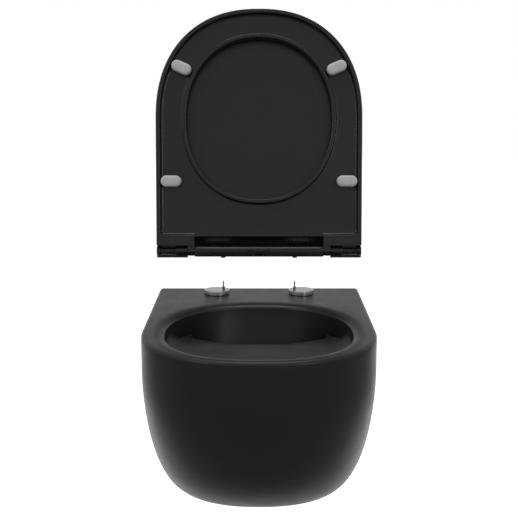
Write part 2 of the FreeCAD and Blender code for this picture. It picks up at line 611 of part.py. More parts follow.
def make_spindle(side):
    """Hinge pin through both knuckles."""
    start = side * (BAR_END - BAR_WALL - SPINDLE_IN_DAMPER)
    return rod(SPINDLE_RADIUS, (start, AXIS_Y, AXIS_Z), (side * SPINDLE_END, AXIS_Y, AXIS_Z))


def make_barrel(side):
    """Retaining barrel on the outer end of the spindle."""
    start, end = side * (COVER_KNUCKLE_END + PLAY), side * (RECESS_END - PLAY)
    barrel = rod(BARREL_RADIUS, (start, AXIS_Y, AXIS_Z), (end, AXIS_Y, AXIS_Z))
    bore = rod(SPINDLE_RADIUS, (start - side, AXIS_Y, AXIS_Z), (side * SPINDLE_END, AXIS_Y, AXIS_Z))
    return barrel.cut(bore)


# ---------------------------------------------------------------- seat and cover, modelled closed
def lid_outline(inset, rear, reach=SEAT_REACH):
    """The shared outline of seat and cover, measured from the hinge axis."""
    wire = d_outline(
        SEAT_WIDTH / 2 - inset, reach - inset, SEAT_NOSE - inset, rear, 0.0, SEAT_REAR_HALF - inset
    )
    wire.translate(Vector(0, AXIS_Y, 0))
    return wire


def opening_wire(grow):
    wire = oval(OPENING_WIDTH / 2 + grow, OPENING_REAR - grow, OPENING_LENGTH + 2 * grow, 0.0, OPENING_POWER)
    wire.translate(Vector(0, AXIS_Y, 0))
    return wire


def bumper_form(x, v, tilt, low, high, inset=0.0):
    """A stadium-shaped pad at a distance x from the centre and v from the axis."""
    radius = BUMPER_WIDTH / 2 - inset
    half = BUMPER_LENGTH / 2 - BUMPER_WIDTH / 2
    form = box(-half, half, -radius, radius, low, high)
    for end in (-half, half):
        form = form.fuse(rod(radius, (end, 0, low), (end, 0, high)))
    form = form.removeSplitter()
    form.rotate(Vector(0, 0, 0), Vector(0, 0, 1), -math.copysign(tilt, x))
    form.translate(Vector(x, AXIS_Y - v, 0))
    return form


def seat_knuckle_parts(side):
    """The tab on a corner block that turns on the spindle."""
    x0, x1 = sorted((side * SEAT_KNUCKLE_START, side * SEAT_KNUCKLE_END))
    barrel = rod(KNUCKLE_RADIUS, (x0, AXIS_Y, AXIS_Z), (x1, AXIS_Y, AXIS_Z))
    tab = box(x0, x1, AXIS_Y - SEAT_REAR - 6.0, AXIS_Y, AXIS_Z - KNUCKLE_RADIUS, AXIS_Z + KNUCKLE_RADIUS)
    return barrel.fuse(tab)


def make_seat():
    z0, z1 = AXIS_Z + SEAT_UNDERSIDE, AXIS_Z + SEAT_TOP
    web = AXIS_Z + SEAT_WEB_UNDERSIDE
    seat = plate(lid_outline(0.0, SEAT_REAR), z0, z1)
    outer_edges = [e for e in flat_edges(seat, z0) if e.BoundBox.YMin < AXIS_Y - SEAT_REAR - 1]
    seat = seat.makeFillet(SEAT_EDGE_RADIUS, outer_edges)
    recess = plate(lid_outline(LIP, SEAT_REAR + CORNER_BLOCK), z0 - 1, web)
    ring = plate(opening_wire(LIP), z0 - 2, z1)
    recess = recess.cut(ring)
    seat = seat.cut(recess).cut(plate(opening_wire(0.0), z0 - 1, z1 + 1))
    notch = SEAT_KNUCKLE_START
    rear = AXIS_Y - SEAT_REAR_WEB
    seat = seat.cut(box(-notch, notch, rear, AXIS_Y, z0 - 1, z1 + 1))
    bridge = box(-notch - 5.0, notch + 5.0, rear - LIP, rear, z0, web + 1.0)
    seat = seat.fuse(bridge)
    for side in SIDES.values():
        seat = seat.fuse(seat_knuckle_parts(side))
        x0, x1 = side * (SEAT_KNUCKLE_START - 1), side * (SEAT_KNUCKLE_END + 1)
        seat = seat.cut(rod(BUSH_RADIUS, (x0, AXIS_Y, AXIS_Z), (x1, AXIS_Y, AXIS_Z)))
        for x, v, tilt in BUMPER_PLACES.values():
            seat = seat.cut(bumper_form(side * x, v, tilt, web - 1.0, web + BUMPER_PLUG, BUMPER_PLUG_INSET))
    return seat.removeSplitter()


def make_bumper(side, place):
    """A pad with a plug that presses into the seat's web."""
    x, v, tilt = BUMPER_PLACES[place]
    web = AXIS_Z + SEAT_WEB_UNDERSIDE
    pad = bumper_form(side * x, v, tilt, PAN_TOP + SEATING_GAP, web)
    return pad.fuse(bumper_form(side * x, v, tilt, web, web + BUMPER_PLUG, BUMPER_PLUG_INSET))


def cover_lug(x0, x1):
    """A lug below the cover, round where the seat swings past it."""
    x0, x1 = sorted((x0, x1))
    barrel = rod(KNUCKLE_RADIUS, (x0, AXIS_Y, AXIS_Z), (x1, AXIS_Y, AXIS_Z))
    root = box(x0, x1, AXIS_Y - KNUCKLE_RADIUS, AXIS_Y + KNUCKLE_RADIUS, AXIS_Z, AXIS_Z + COVER_UNDERSIDE)
    return barrel.fuse(root)


def make_cover():
    z0, z1 = AXIS_Z + COVER_UNDERSIDE, AXIS_Z + COVER_TOP
    cover = plate(lid_outline(0.0, COVER_REAR), z0, z1)
    cover = cover.makeFillet(COVER_EDGE_RADIUS, flat_edges(cover, z1))
    pocket_rear = SEAT_REAR_WEB + LIP
    cover = cover.cut(plate(lid_outline(COVER_EDGE, pocket_rear), z0 - 1, z0 + COVER_POCKET))
    half = SEAT_KNUCKLE_START
    relief = box(-half, half, AXIS_Y - pocket_rear, AXIS_Y - COVER_REAR + 1, z0 - 1, z0 + COVER_HINGE_RELIEF)
    cover = cover.cut(relief)
    stem = BUFFER_RADIUS - BUFFER_STEM_INSET
    for side in SIDES.values():
        cover = cover.fuse(cover_lug(side * COVER_KNUCKLE_START, side * COVER_KNUCKLE_END))
        cover = cover.fuse(cover_lug(side * RECESS_END, side * SEAT_REAR_HALF))
        x0, x1 = side * (COVER_KNUCKLE_START - 1), side * (COVER_KNUCKLE_END + 1)
        cover = cover.cut(rod(BUSH_RADIUS, (x0, AXIS_Y, AXIS_Z), (x1, AXIS_Y, AXIS_Z)))
        for x, v in BUFFER_PLACES.values():
            centre = (side * x, AXIS_Y - v)
            cover = cover.cut(rod(stem, (*centre, z0), (*centre, z0 + COVER_POCKET + BUFFER_STEM)))
    return cover.removeSplitter()


def make_buffer(side, place):
    """A small rubber button between cover and seat."""
    x, v = BUFFER_PLACES[place]
    z0 = AXIS_Z + COVER_UNDERSIDE
    centre = (side * x, AXIS_Y - v)
    head = rod(BUFFER_RADIUS, (*centre, AXIS_Z + SEAT_TOP + SEATING_GAP), (*centre, z0 + COVER_POCKET))
    stem = BUFFER_RADIUS - BUFFER_STEM_INSET
    return head.fuse(rod(stem, (*centre, z0), (*centre, z0 + COVER_POCKET + BUFFER_STEM)))


def make_hinge_bush(x0, x1):
    inner = SPINDLE_RADIUS + RUNNING_GAP
    return tube(BUSH_RADIUS, inner, (x0, AXIS_Y, AXIS_Z), (x1, AXIS_Y, AXIS_Z))


# ---------------------------------------------------------------- rest places and export
def lifted(shape):
    shape = shape.copy()
    shape.translate(Vector(0, 0, LIFT))
    return shape


def folded(shape):
    """Turn a closed seat or cover piece up about the hinge axis and lift it with the bar."""
    shape = shape.copy()
    shape.rotate(Vector(0, AXIS_Y, AXIS_Z), Vector(1, 0, 0), -OPEN_ANGLE)
    return lifted(shape)


def main():
    save(make_pan(), "pan_ceramic")
    save(make_inlet_seal(), "inlet_seal")
    save(make_nozzle(), "flush_nozzle")
    save(lifted(make_bar()), "hinge_bar_housing")
    save(lifted(make_bar_lid()), "hinge_bar_base")
    save(lifted(make_button()), "release_button")
    save(folded(make_seat()), "seat_ring")
    save(folded(make_cover()), "cover_shell")
    for name, side in SIDES.items():
        bush, washer = make_wall_fixing(side)
        save(bush, "wall_bush_" + name)
        save(washer, "wall_washer_" + name)
        save(make_sleeve(side), "expansion_sleeve_" + name)
        save(make_gasket(side), "disc_gasket_" + name)
        save(make_disc(side), "eccentric_disc_" + name)
        save(make_disc_stud(side), "disc_stud_" + name)
        save(make_pin(side), "hinge_pin_" + name)
        save(lifted(make_socket(side)), "socket_bush_" + name)
        save(lifted(make_latch(side)), "latch_" + name)
        save(lifted(make_damper(side)), "damper_" + name)
        save(lifted(make_spindle(side)), "hinge_spindle_" + name)
        save(lifted(make_barrel(side)), "spindle_barrel_" + name)
        seat_bush = make_hinge_bush(side * SEAT_KNUCKLE_START, side * SEAT_KNUCKLE_END)
        save(folded(seat_bush), "seat_hinge_bush_" + name)
        cover_bush = make_hinge_bush(side * COVER_KNUCKLE_START, side * COVER_KNUCKLE_END)
        save(folded(cover_bush), "cover_hinge_bush_" + name)
        for place in BUMPER_PLACES:
            save(folded(make_bumper(side, place)), "seat_bumper_" + place + "_" + name)
        for place in BUFFER_PLACES:
            save(folded(make_buffer(side, place)), "cover_buffer_" + place + "_" + name)


main()
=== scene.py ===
"""Looks of a wall-hung black toilet with its seat, cover and quick-release bar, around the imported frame."""
import json
import math

import bmesh
import bpy
import numpy as np
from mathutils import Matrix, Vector


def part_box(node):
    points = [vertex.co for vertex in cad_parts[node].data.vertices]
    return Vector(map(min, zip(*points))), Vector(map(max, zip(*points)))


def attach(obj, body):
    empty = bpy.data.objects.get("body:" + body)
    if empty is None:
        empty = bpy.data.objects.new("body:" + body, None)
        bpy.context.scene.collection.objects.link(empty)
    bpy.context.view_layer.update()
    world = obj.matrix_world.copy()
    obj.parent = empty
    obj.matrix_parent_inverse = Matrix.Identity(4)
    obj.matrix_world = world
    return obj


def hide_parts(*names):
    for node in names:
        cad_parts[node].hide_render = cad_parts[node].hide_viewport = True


bl_info = {
    "name": "Wall-hung toilet with lift-off seat",
    "version": (1, 0, 0),
    "blender": (4, 5, 0),
    "location": "3D View > Sidebar > Toilet",
    "description": "Makes the pan, seat, cover, hinge bar and fixings of a wall-hung toilet",
    "category": "Object",
}

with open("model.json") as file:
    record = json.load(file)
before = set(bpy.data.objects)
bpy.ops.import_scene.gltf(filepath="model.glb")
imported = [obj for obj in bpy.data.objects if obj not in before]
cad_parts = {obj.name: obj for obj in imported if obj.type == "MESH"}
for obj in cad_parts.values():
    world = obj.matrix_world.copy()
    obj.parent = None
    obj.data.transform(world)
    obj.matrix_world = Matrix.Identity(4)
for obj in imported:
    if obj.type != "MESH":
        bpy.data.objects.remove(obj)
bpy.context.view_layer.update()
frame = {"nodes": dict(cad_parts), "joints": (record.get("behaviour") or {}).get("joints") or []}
JOINTS = {joint["name"]: joint for joint in frame["joints"]}
AXIS = Vector(JOINTS["cover_hinge"]["pos_m"])
OPEN_ANGLE = math.radians(-JOINTS["cover_hinge"]["range_deg"][0])
PAN_LOW, PAN_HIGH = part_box("pan_ceramic")
SEAT_LOW, SEAT_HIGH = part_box("seat_ring")
BAR_LOW, BAR_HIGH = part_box("hinge_bar_housing")
SIDES = {"left": -1, "right": 1}
MM = 0.001
MERGE = 1e-6                 # points closer than this are one point
CUT = 1 * MM                 # how far a cutter reaches past the face it cuts
ON_AXIS = Vector((0, 0, 0))  # the hinge axis, for pieces made closed


# ---------------------------------------------------------------- sizes and colours a user may change
def length(name, default_mm, description):
    """A length property, in metres, with its default in millimetres."""
    return bpy.props.FloatProperty(
        name=name, description=description, default=default_mm * MM,
        unit="LENGTH", subtype="DISTANCE", precision=4,
    )


def factor(name, default, description):
    """A plain number."""
    return bpy.props.FloatProperty(name=name, description=description, default=default)


def colour(name, default, description):
    """A colour property."""
    return bpy.props.FloatVectorProperty(
        name=name, description=description, default=default, size=3, subtype="COLOR", min=0.0, max=1.0
    )


class PanSizes(bpy.types.PropertyGroup):
    """Sizes of the ceramic pan."""
    shoulder: length("Shoulder", 62, "Upright band below the top face")
    nose: length("Nose", 198, "Length of the rounded front")
    outline_power: factor("Outline power", 2.26, "Squareness of the rounded front")
    depth: length("Depth", 332, "Top face to underside")
    side_fall: factor("Side fall", 1.6, "How late the sides start to draw in")
    side_bend: factor("Side bend", 4.5, "How sharply the sides turn under")
    front_fall: factor("Front fall", 2.12, "How late the front starts to draw in")
    front_bend: factor("Front bend", 2.23, "How sharply the front turns under")
    plan_core: length("Underside reach", 91.5, "Part of the reach that the underside keeps")
    edge_radius: length("Edge radius", 6, "Rounding of the outer top edge")
    wall: length("Wall", 13, "Ceramic wall of the hollow body")
    deck: length("Deck", 16, "Thickness of the top face")
    rim_side: length("Side rim", 37, "Top face beside the bowl")
    rim_front: length("Front rim", 29, "Top face in front of the bowl")
    bowl_rear: length("Bowl from wall", 133, "Wall to the rear edge of the bowl")
    bowl_power: factor("Bowl power", 2.3, "Squareness of the bowl opening")
    rim_roll: length("Rim roll", 20, "Width of the soft rounding into the bowl")
    rim_drop: length("Rim drop", 9, "Depth of the soft rounding into the bowl")
    bowl_wall: length("Bowl wall", 12, "Ceramic around the bowl and trap")


class SeatSizes(bpy.types.PropertyGroup):
    """Sizes of the seat ring and the cover, measured closed from the hinge axis."""
    nose: length("Nose", 198, "Length of the rounded front")
    taper: length("Rear taper", 1.6, "How far each side draws in towards the hinge")
    top: length("Seat top", 9, "Seat's top face above the axis")
    lip_face: length("Seat underside", -13, "Lip's face below the axis")
    web_face: length("Web underside", -3, "Recessed face below the axis")
    lip: length("Lip", 7.4, "Width of the lips round the recess")
    rear: length("Rear face", 9.9, "Axis to the rear face of the corner blocks")
    corner: length("Corner", 10, "Rounding of the recess's rear corners")
    recess_rear: length("Recess", 28.9, "Axis to the rear end of the recess")
    web_rear: length("Rear edge", 26.5, "Axis to the rear edge between the blocks, at the underside")
    web_bevel: length("Rear bevel", 17.5, "Axis to the rear edge between the blocks, at the top")
    opening_rear: length("Opening from axis", 93.3, "Axis to the rear of the opening")
    ring_side: length("Ring beside", 55.1, "Width of the ring beside the opening")
    ring_front: length("Ring in front", 52.4, "Width of the ring in front of the opening")
    opening_power: factor("Opening power", 2.15, "Squareness of the opening")
    fillet: length("Inner fillet", 3.2, "Rounding at the foot of the opening's lip")
    foot: length("Outer fillet", 6.0, "Rounding at the foot of the outer lip")
    edge: length("Edge", 1.4, "Rounding of the lips")
    cover_low: length("Cover underside", 9.8, "Cover's underside above the axis")
    cover_top: length("Cover top", 22, "Cover's top face above the axis")
    cover_rear: length("Cover rear", -8.5, "Axis to the cover's rear edge")
    cover_band: length("Cover band", 12, "Flat band round the cover's hollow")
    cover_hollow: length("Cover hollow", 4.5, "Depth of the cover's hollow")
    heel: length("Heel", -12.2, "Axis to the rear of the cover's knuckles")
    cover_round: length("Cover rounding", 5, "Rounding of the cover's top edge")
    knuckle: length("Knuckle", 9, "Radius of the hinge knuckles")


class BarSizes(bpy.types.PropertyGroup):
    """Sizes of the hinge bar and its release button."""
    radius: length("Radius", 9.25, "Round upper half")
    depth: length("Depth", 18, "Front to rear")
    wall: length("Wall", 1.6, "Moulded wall")
    button_width: length("Button width", 41, "Across the release button")
    button_flat: length("Button flat", 21.6, "Middle part that stands furthest out")
    button_height: length("Button height", 11, "Height of the release button")
    button_proud: length("Button proud", 1.6, "How far the button stands out of the bar")
    button_gap: length("Button gap", 0.2, "Gap round the release button")


class Finishes(bpy.types.PropertyGroup):
    """Colours of the finishes."""
    glaze: colour("Glaze", (0.0065, 0.0058, 0.0078), "Matte black glaze of the pan")
    lacquer: colour("Seat black", (0.0085, 0.0078, 0.0105), "Satin black of the seat and cover")
    pad: colour("Pads", (0.6, 0.6, 0.61), "Translucent grey pads")
    steel: colour("Steel", (0.62, 0.62, 0.62), "Turned stainless steel")
    floor: colour("Floor", (0.92, 0.92, 0.92), "Pale studio floor")


# ---------------------------------------------------------------- outlines and skins
def bent_power(value, power):
    """A power that keeps the sign."""
    return np.sign(value) * np.abs(value) ** power


def d_unit(power, side_count=30, arc_count=112, rear_count=34):
    """Unit coordinates of a D outline: sideways -1..1, shares of the straight sides and of the nose 0..1."""
    rise = np.linspace(0, 1, side_count, endpoint=False)
    rise = (rise + rise ** 2) / 2
    turn = np.linspace(0, math.pi, arc_count + 1)
    right = np.column_stack([np.ones(side_count), rise, np.zeros(side_count)])
    sideways, ahead = bent_power(np.cos(turn), 2 / power), bent_power(np.sin(turn), 2 / power)
    arc = np.column_stack([sideways, np.ones(turn.size), ahead])
    left = np.column_stack([-np.ones(side_count), rise[::-1], np.zeros(side_count)])
    across = np.sin(np.linspace(-math.pi / 2, math.pi / 2, rear_count + 1, endpoint=False)[1:])
    rear = np.column_stack([across, np.zeros(rear_count), np.zeros(rear_count)])
    return np.vstack([right, arc, left, rear])


def d_ring(half, reach, nose, rear, power, rear_half=None):
    """A D outline as points (sideways, distance forward from the wall or axis)."""
    unit = d_unit(power)
    rear_half = half if rear_half is None else rear_half
    width = rear_half + (half - rear_half) * unit[:, 1]
    forward = rear + (reach - nose - rear) * unit[:, 1] + nose * unit[:, 2]
    return np.column_stack([unit[:, 0] * width, forward])


def round_rear(ring, radius):
    """Round the two rear corners of a D outline."""
    half, rear = np.abs(ring[:, 0]).max(), ring[:, 1].min()
    side = np.abs(ring[:, 0]) - (half - radius)
    back = rear + radius - ring[:, 1]
    corner = (side > 0) & (back > 0)
    span = np.hypot(side, back)
    ring = ring.copy()
    ring[corner, 0] = np.sign(ring[corner, 0]) * (half - radius + radius * side[corner] / span[corner])
    ring[corner, 1] = rear + radius - radius * back[corner] / span[corner]
    return ring


def oval_ring(half, rear, extent, power, angles, front_power=None):
    """A superellipse with its points at the given directions from its middle; its front may be squarer."""
    a, b = half, extent / 2
    power = np.where(np.sin(angles) > 0, front_power or power, power)
    c, s = np.cos(angles), np.sin(angles)
    radius = ((np.abs(c) / a) ** power + (np.abs(s) / b) ** power) ** (-1 / power)
    return np.column_stack([radius * c, rear + b + radius * s])


def directions(ring, middle):
    """Directions of an outline's points, seen from a middle that far forward."""
    return np.arctan2(ring[:, 1] - middle, ring[:, 0])


def standing(ring, height):
    """Points of the pan: sideways, forward from the wall and height become x, y and z."""
    height = np.broadcast_to(height, len(ring))
    return np.column_stack([ring[:, 0], -ring[:, 1], height])


def folded(points):
    """Fold points (sideways, forward, above the axis) of the closed seat or cover up to the stored pose."""
    points = np.asarray(points, float)
    c, s = math.cos(OPEN_ANGLE), math.sin(OPEN_ANGLE)
    forward, above = points[:, 1], points[:, 2]
    return np.column_stack([points[:, 0], AXIS.y - forward * c + above * s, AXIS.z + forward * s + above * c])


def closed(ring, above):
    """Points of the closed seat or cover, at a height above the axis."""
    return np.column_stack([ring, np.broadcast_to(above, len(ring))])


def skin(rings, loop=False):
    """Faces between rings of equal length. Fans close the ends, unless the last ring joins the first."""
    count = len(rings[0])
    verts = np.vstack(rings)
    faces = []
    for k in range(len(rings) if loop else len(rings) - 1):
        a, b = k * count, ((k + 1) % len(rings)) * count
        for i in range(count):
            j = (i + 1) % count
            faces.append((a + i, a + j, b + j, b + i))
    if not loop:
        for k in (0, len(rings) - 1):
            middle = len(verts)
            verts = np.vstack([verts, rings[k].mean(axis=0)])
            for i in range(count):
                faces.append((middle, k * count + i, k * count + (i + 1) % count))
    return verts, faces


def piece(name, verts, faces):
    """A mesh object at the origin whose faces point outwards."""
    mesh = bpy.data.meshes.new(name)
    mesh.from_pydata([tuple(v) for v in verts], [], faces)
    obj = bpy.data.objects.new(name, mesh)
    bpy.context.scene.collection.objects.link(obj)
    tidy(obj)
    return obj


def points_only(name, points, values):
    """An object of loose points, with its named values, for a node tree to work on."""
    mesh = bpy.data.meshes.new(name)
    mesh.from_pydata([tuple(p) for p in points], [], [])
    for key, value in values.items():
        mesh.attributes.new(key, "FLOAT", "POINT").data.foreach_set("value", np.array(value, np.float32))
    obj = bpy.data.objects.new(name, mesh)
    bpy.context.scene.collection.objects.link(obj)
    return obj


def tidy(obj):
    """Merge doubled points and point every face outwards."""
    work = bmesh.new()
    work.from_mesh(obj.data)
    bmesh.ops.remove_doubles(work, verts=work.verts, dist=MERGE)
    bmesh.ops.recalc_face_normals(work, faces=work.faces)
    work.to_mesh(obj.data)
    work.free()


def soften(obj, angle):
    """Smooth shading, with edges sharper than the angle kept crisp."""
    obj.data.polygons.foreach_set("use_smooth", [True] * len(obj.data.polygons))
    obj.data.set_sharp_from_angle(angle=math.radians(angle))


def baked(obj):
    """Replace an object's mesh and live modifiers by its evaluated mesh."""
    graph = bpy.context.evaluated_depsgraph_get()
    mesh = bpy.data.meshes.new_from_object(obj.evaluated_get(graph), depsgraph=graph)
    obj.modifiers.clear()
    obj.data = mesh
    return obj


def carve(obj, tools, operation="DIFFERENCE"):
    """Cut the tools out of a solid, or join them to it, and remove them."""
    for tool in tools:
        modifier = obj.modifiers.new("carve", "BOOLEAN")
        modifier.operation = operation
        modifier.solver = "MANIFOLD"
        modifier.object = tool
        baked(obj)
        if not obj.data.polygons:
            raise RuntimeError(obj.name + " vanished at " + tool.name)
        bpy.data.objects.remove(tool)
    return obj


def block(name, low, high):
    """A box between two corners."""
    x0, y0, z0 = low
    x1, y1, z1 = high
    square = np.array([(x0, y0), (x1, y0), (x1, y1), (x0, y1)], float)
    return piece(name, *skin([np.column_stack([square, np.full(4, z)]) for z in (z0, z1)]))


def pipe(name, path, radius, sides=56):
    """A round bar along points in a plane of constant x."""
    path = [np.array(p, float) for p in path]
    turn = np.linspace(0, 2 * math.pi, sides, endpoint=False)
    across = np.array([1.0, 0.0, 0.0])
    rings = []
    for k, point in enumerate(path):
        along = path[min(k + 1, len(path) - 1)] - path[max(k - 1, 0)]
        along /= np.linalg.norm(along)
        up = np.cross(along, across)
        rings.append(point + radius * (np.outer(np.cos(turn), across) + np.outer(np.sin(turn), up)))
    return piece(name, *skin(rings))


def turned(name, profile, middle, sides=96):
    """A turned piece about an upright axis, from pairs of radius and height."""
    turn = np.linspace(0, 2 * math.pi, sides, endpoint=False)
    x, y, z = middle
    rings = []
    for r, h in profile:
        rings.append(np.column_stack([x + r * np.cos(turn), y + r * np.sin(turn), np.full(sides, z + h)]))
    return piece(name, *skin(rings))


def rod_across(name, x0, x1, radius, middle, sides=72, rounding=0.0004):
    """A round bar along x, with rounded ends."""
    turn = np.linspace(0, 2 * math.pi, sides, endpoint=False)
    x0, x1 = sorted((x0, x1))
    near = []
    for a in quarter(4)[::-1]:
        near.append((x0 + rounding * (1 - math.sin(a)), radius - rounding * (1 - math.cos(a))))
    rings = []
    for x, r in near + [(x0 + x1 - x, r) for x, r in reversed(near)]:
        y, z = middle.y + r * np.cos(turn), middle.z + r * np.sin(turn)
        rings.append(np.column_stack([np.full(sides, x), y, z]))
    return piece(name, *skin(rings))


def cylinder_to_wall(name, radius, x, z, y0, y1, sides=72):
    """A round bar square to the wall."""
    turn = np.linspace(0, 2 * math.pi, sides, endpoint=False)
    rings = []
    for y in (y0, y1):
        across, height = x + radius * np.cos(turn), z + radius * np.sin(turn)
        rings.append(np.column_stack([across, np.full(sides, y), height]))
    return piece(name, *skin(rings))


def upright(name, radius, x, y, z0, z1):
    """A round bar standing on end."""
    return turned(name, [(radius, 0.0), (radius, z1 - z0)], (x, y, z0), 72)


def quarter(count):
    """Angles of a quarter turn, from 0 to 90 degrees."""
    return np.linspace(0, math.pi / 2, count)


def lerp(a, b, t):
    """The value a share of the way from a to b."""
    return a + (b - a) * t


def middle_of(box):
    """The middle of a box given by its low and high corners."""
    return [(a + b) / 2 for a, b in zip(*box)]


# ---------------------------------------------------------------- arithmetic for node trees
class Term:
    """A value in a node tree, with the usual signs."""

    def __init__(self, recipe, socket):
        self.recipe = recipe
        self.socket = socket

    def __add__(self, other):
        return self.recipe.math("ADD", self, other)

    def __sub__(self, other):
        return self.recipe.math("SUBTRACT", self, other)

    def __rsub__(self, other):
        return self.recipe.math("SUBTRACT", other, self)

    def __mul__(self, other):
        return self.recipe.math("MULTIPLY", self, other)

    def __truediv__(self, other):
        return self.recipe.math("DIVIDE", self, other)

    def __rtruediv__(self, other):
        return self.recipe.math("DIVIDE", other, self)

    def __pow__(self, other):
        return self.recipe.math("POWER", self, other)


class Recipe:
    """A Geometry Nodes tree with named inputs, written as plain arithmetic."""

    def __init__(self, name):
        self.tree = bpy.data.node_groups.new(name, "GeometryNodeTree")
        self.tree.interface.new_socket("Geometry", in_out="INPUT", socket_type="NodeSocketGeometry")
        self.tree.interface.new_socket("Geometry", in_out="OUTPUT", socket_type="NodeSocketGeometry")
        self.start = self.tree.nodes.new("NodeGroupInput")
        self.end = self.tree.nodes.new("NodeGroupOutput")
        self.identifiers = {}

    def number(self, name):
        socket = self.tree.interface.new_socket(name, in_out="INPUT", socket_type="NodeSocketFloat")
        self.identifiers[name] = socket.identifier
        return Term(self, self.start.outputs[name])

    def attribute(self, name):
        node = self.tree.nodes.new("GeometryNodeInputNamedAttribute")
        node.data_type = "FLOAT"
        node.inputs["Name"].default_value = name
        return Term(self, node.outputs["Attribute"])

    def node(self, kind, **settings):
        node = self.tree.nodes.new(kind)
        for key, value in settings.items():
            setattr(node, key, value)
        return node

    def join(self, value, socket):
        if isinstance(value, Term):
            value = value.socket
        if isinstance(value, bpy.types.NodeSocket):
            self.tree.links.new(value, socket)
        else:
            socket.default_value = value

    def math(self, operation, *values):
        node = self.node("ShaderNodeMath", operation=operation)
        for value, socket in zip(values, node.inputs):
            self.join(value, socket)
        return Term(self, node.outputs[0])

    def vector(self, x, y, z):
        node = self.node("ShaderNodeCombineXYZ")
        for value, socket in zip((x, y, z), node.inputs):
            self.join(value, socket)
        return node.outputs[0]

    def place(self, geometry, position):
        node = self.node("GeometryNodeSetPosition")
        self.join(geometry, node.inputs["Geometry"])
        self.join(position, node.inputs["Position"])
        return node.outputs["Geometry"]

    def finish(self, geometry, material):
        real = self.node("GeometryNodeRealizeInstances")
        coat = self.node("GeometryNodeSetMaterial")
        self.join(geometry, real.inputs["Geometry"])
        self.join(real.outputs["Geometry"], coat.inputs["Geometry"])
        coat.inputs["Material"].default_value = material
        self.join(coat.outputs["Geometry"], self.end.inputs["Geometry"])

    def run(self, obj, **values):
        """Run the tree on an object with the given inputs and keep the plain mesh."""
        modifier = obj.modifiers.new(self.tree.name, "NODES")
        modifier.node_group = self.tree
        for name, value in values.items():
            modifier[self.identifiers[name]] = value
        return baked(obj)


LONGEST_NOSE = 0.8           # of the body's reach at that depth


def body_recipe(material):
    """The pan's tapering body: its width, reach and nose shrink with depth as two superellipses."""
    recipe = Recipe("pan body form")
    width, reach, nose, core = [recipe.number(n) for n in ("Half width", "Reach", "Nose", "Core")]
    top, height = [recipe.number(n) for n in ("Top", "Height")]
    side_fall, side_bend = [recipe.number(n) for n in ("Side fall", "Side bend")]
    front_fall, front_bend = [recipe.number(n) for n in ("Front fall", "Front bend")]
    sideways, along, ahead, level = [recipe.attribute(n) for n in ("sideways", "along", "ahead", "level")]
    wall = recipe.attribute("behind")
    side = (1.0 - level ** side_fall) ** (1.0 / side_bend)
    front = (1.0 - level ** front_fall) ** (1.0 / front_bend)
    here = core + (reach - core) * front
    full_nose = nose * here / reach
    short_nose = recipe.math("MINIMUM", full_nose, here * LONGEST_NOSE)
    forward = (here - short_nose) * along + short_nose * ahead - wall
    position = recipe.vector(width * side * sideways, forward * -1.0, top - height * level)
    geometry = recipe.place(recipe.start.outputs["Geometry"], position)
    recipe.finish(geometry, material)
    return recipe


def pad_recipe(material):
    """Soft pads with round ends, one on every point, each turned by its own tilt."""
    recipe = Recipe("soft pads")
    long_half, radius = [recipe.number(n) for n in ("Half run", "Radius")]
    height, squareness = [recipe.number(n) for n in ("Height", "Squareness")]
    grid = recipe.node("GeometryNodeMeshGrid")
    grid.inputs["Vertices X"].default_value = 73
    grid.inputs["Vertices Y"].default_value = 23
    split = recipe.node("ShaderNodeSeparateXYZ")
    recipe.join(grid.outputs["UV Map"], split.inputs[0])
    around = Term(recipe, split.outputs[0]) * (2 * math.pi)
    rise = (Term(recipe, split.outputs[1]) - 0.5) * math.pi
    c, s = recipe.math("COSINE", around), recipe.math("SINE", around)
    up = recipe.math("SINE", rise)
    ring = radius * recipe.math("MAXIMUM", recipe.math("COSINE", rise), 0.0) ** (2.0 / squareness)
    x = ring * c + long_half * recipe.math("SIGN", c)
    z = recipe.math("SIGN", up) * recipe.math("ABSOLUTE", up) ** (2.0 / squareness) * height * 0.5
    shaped = recipe.place(grid.outputs["Mesh"], recipe.vector(x, ring * s, z))
    merged = recipe.node("GeometryNodeMergeByDistance")
    merged.inputs["Distance"].default_value = MERGE
    recipe.join(shaped, merged.inputs["Geometry"])
    spread = recipe.node("GeometryNodeInstanceOnPoints")
    recipe.join(recipe.start.outputs["Geometry"], spread.inputs["Points"])
    recipe.join(merged.outputs["Geometry"], spread.inputs["Instance"])
    turn = recipe.vector(0.0, 0.0, recipe.attribute("tilt"))
    recipe.join(turn, spread.inputs["Rotation"])
    recipe.finish(spread.outputs["Instances"], material)
    return recipe


# ---------------------------------------------------------------- finishes
def shader(name):
    """A new material with its node tree, its main shader and its object coordinates."""
    material = bpy.data.materials.new(name)
    material.use_nodes = True
    tree = material.node_tree
    main = tree.nodes["Principled BSDF"]
    place = tree.nodes.new("ShaderNodeTexCoord").outputs["Object"]
    return material, tree, main, place


def noise(tree, place, scale, detail=3.0):
    """A soft random pattern."""
    node = tree.nodes.new("ShaderNodeTexNoise")
    node.inputs["Scale"].default_value = scale
    node.inputs["Detail"].default_value = detail
    node.inputs["Roughness"].default_value = 0.55
    tree.links.new(place, node.inputs["Vector"])
    return node.outputs["Fac"]


def ranged(tree, value, low, high, start=0.3, end=0.7):
    """Carry a value from start..end over to low..high."""
    node = tree.nodes.new("ShaderNodeMapRange")
    node.inputs["From Min"].default_value = start
    node.inputs["From Max"].default_value = end
    node.inputs["To Min"].default_value = low
    node.inputs["To Max"].default_value = high
    tree.links.new(value, node.inputs["Value"])
    return node.outputs["Result"]


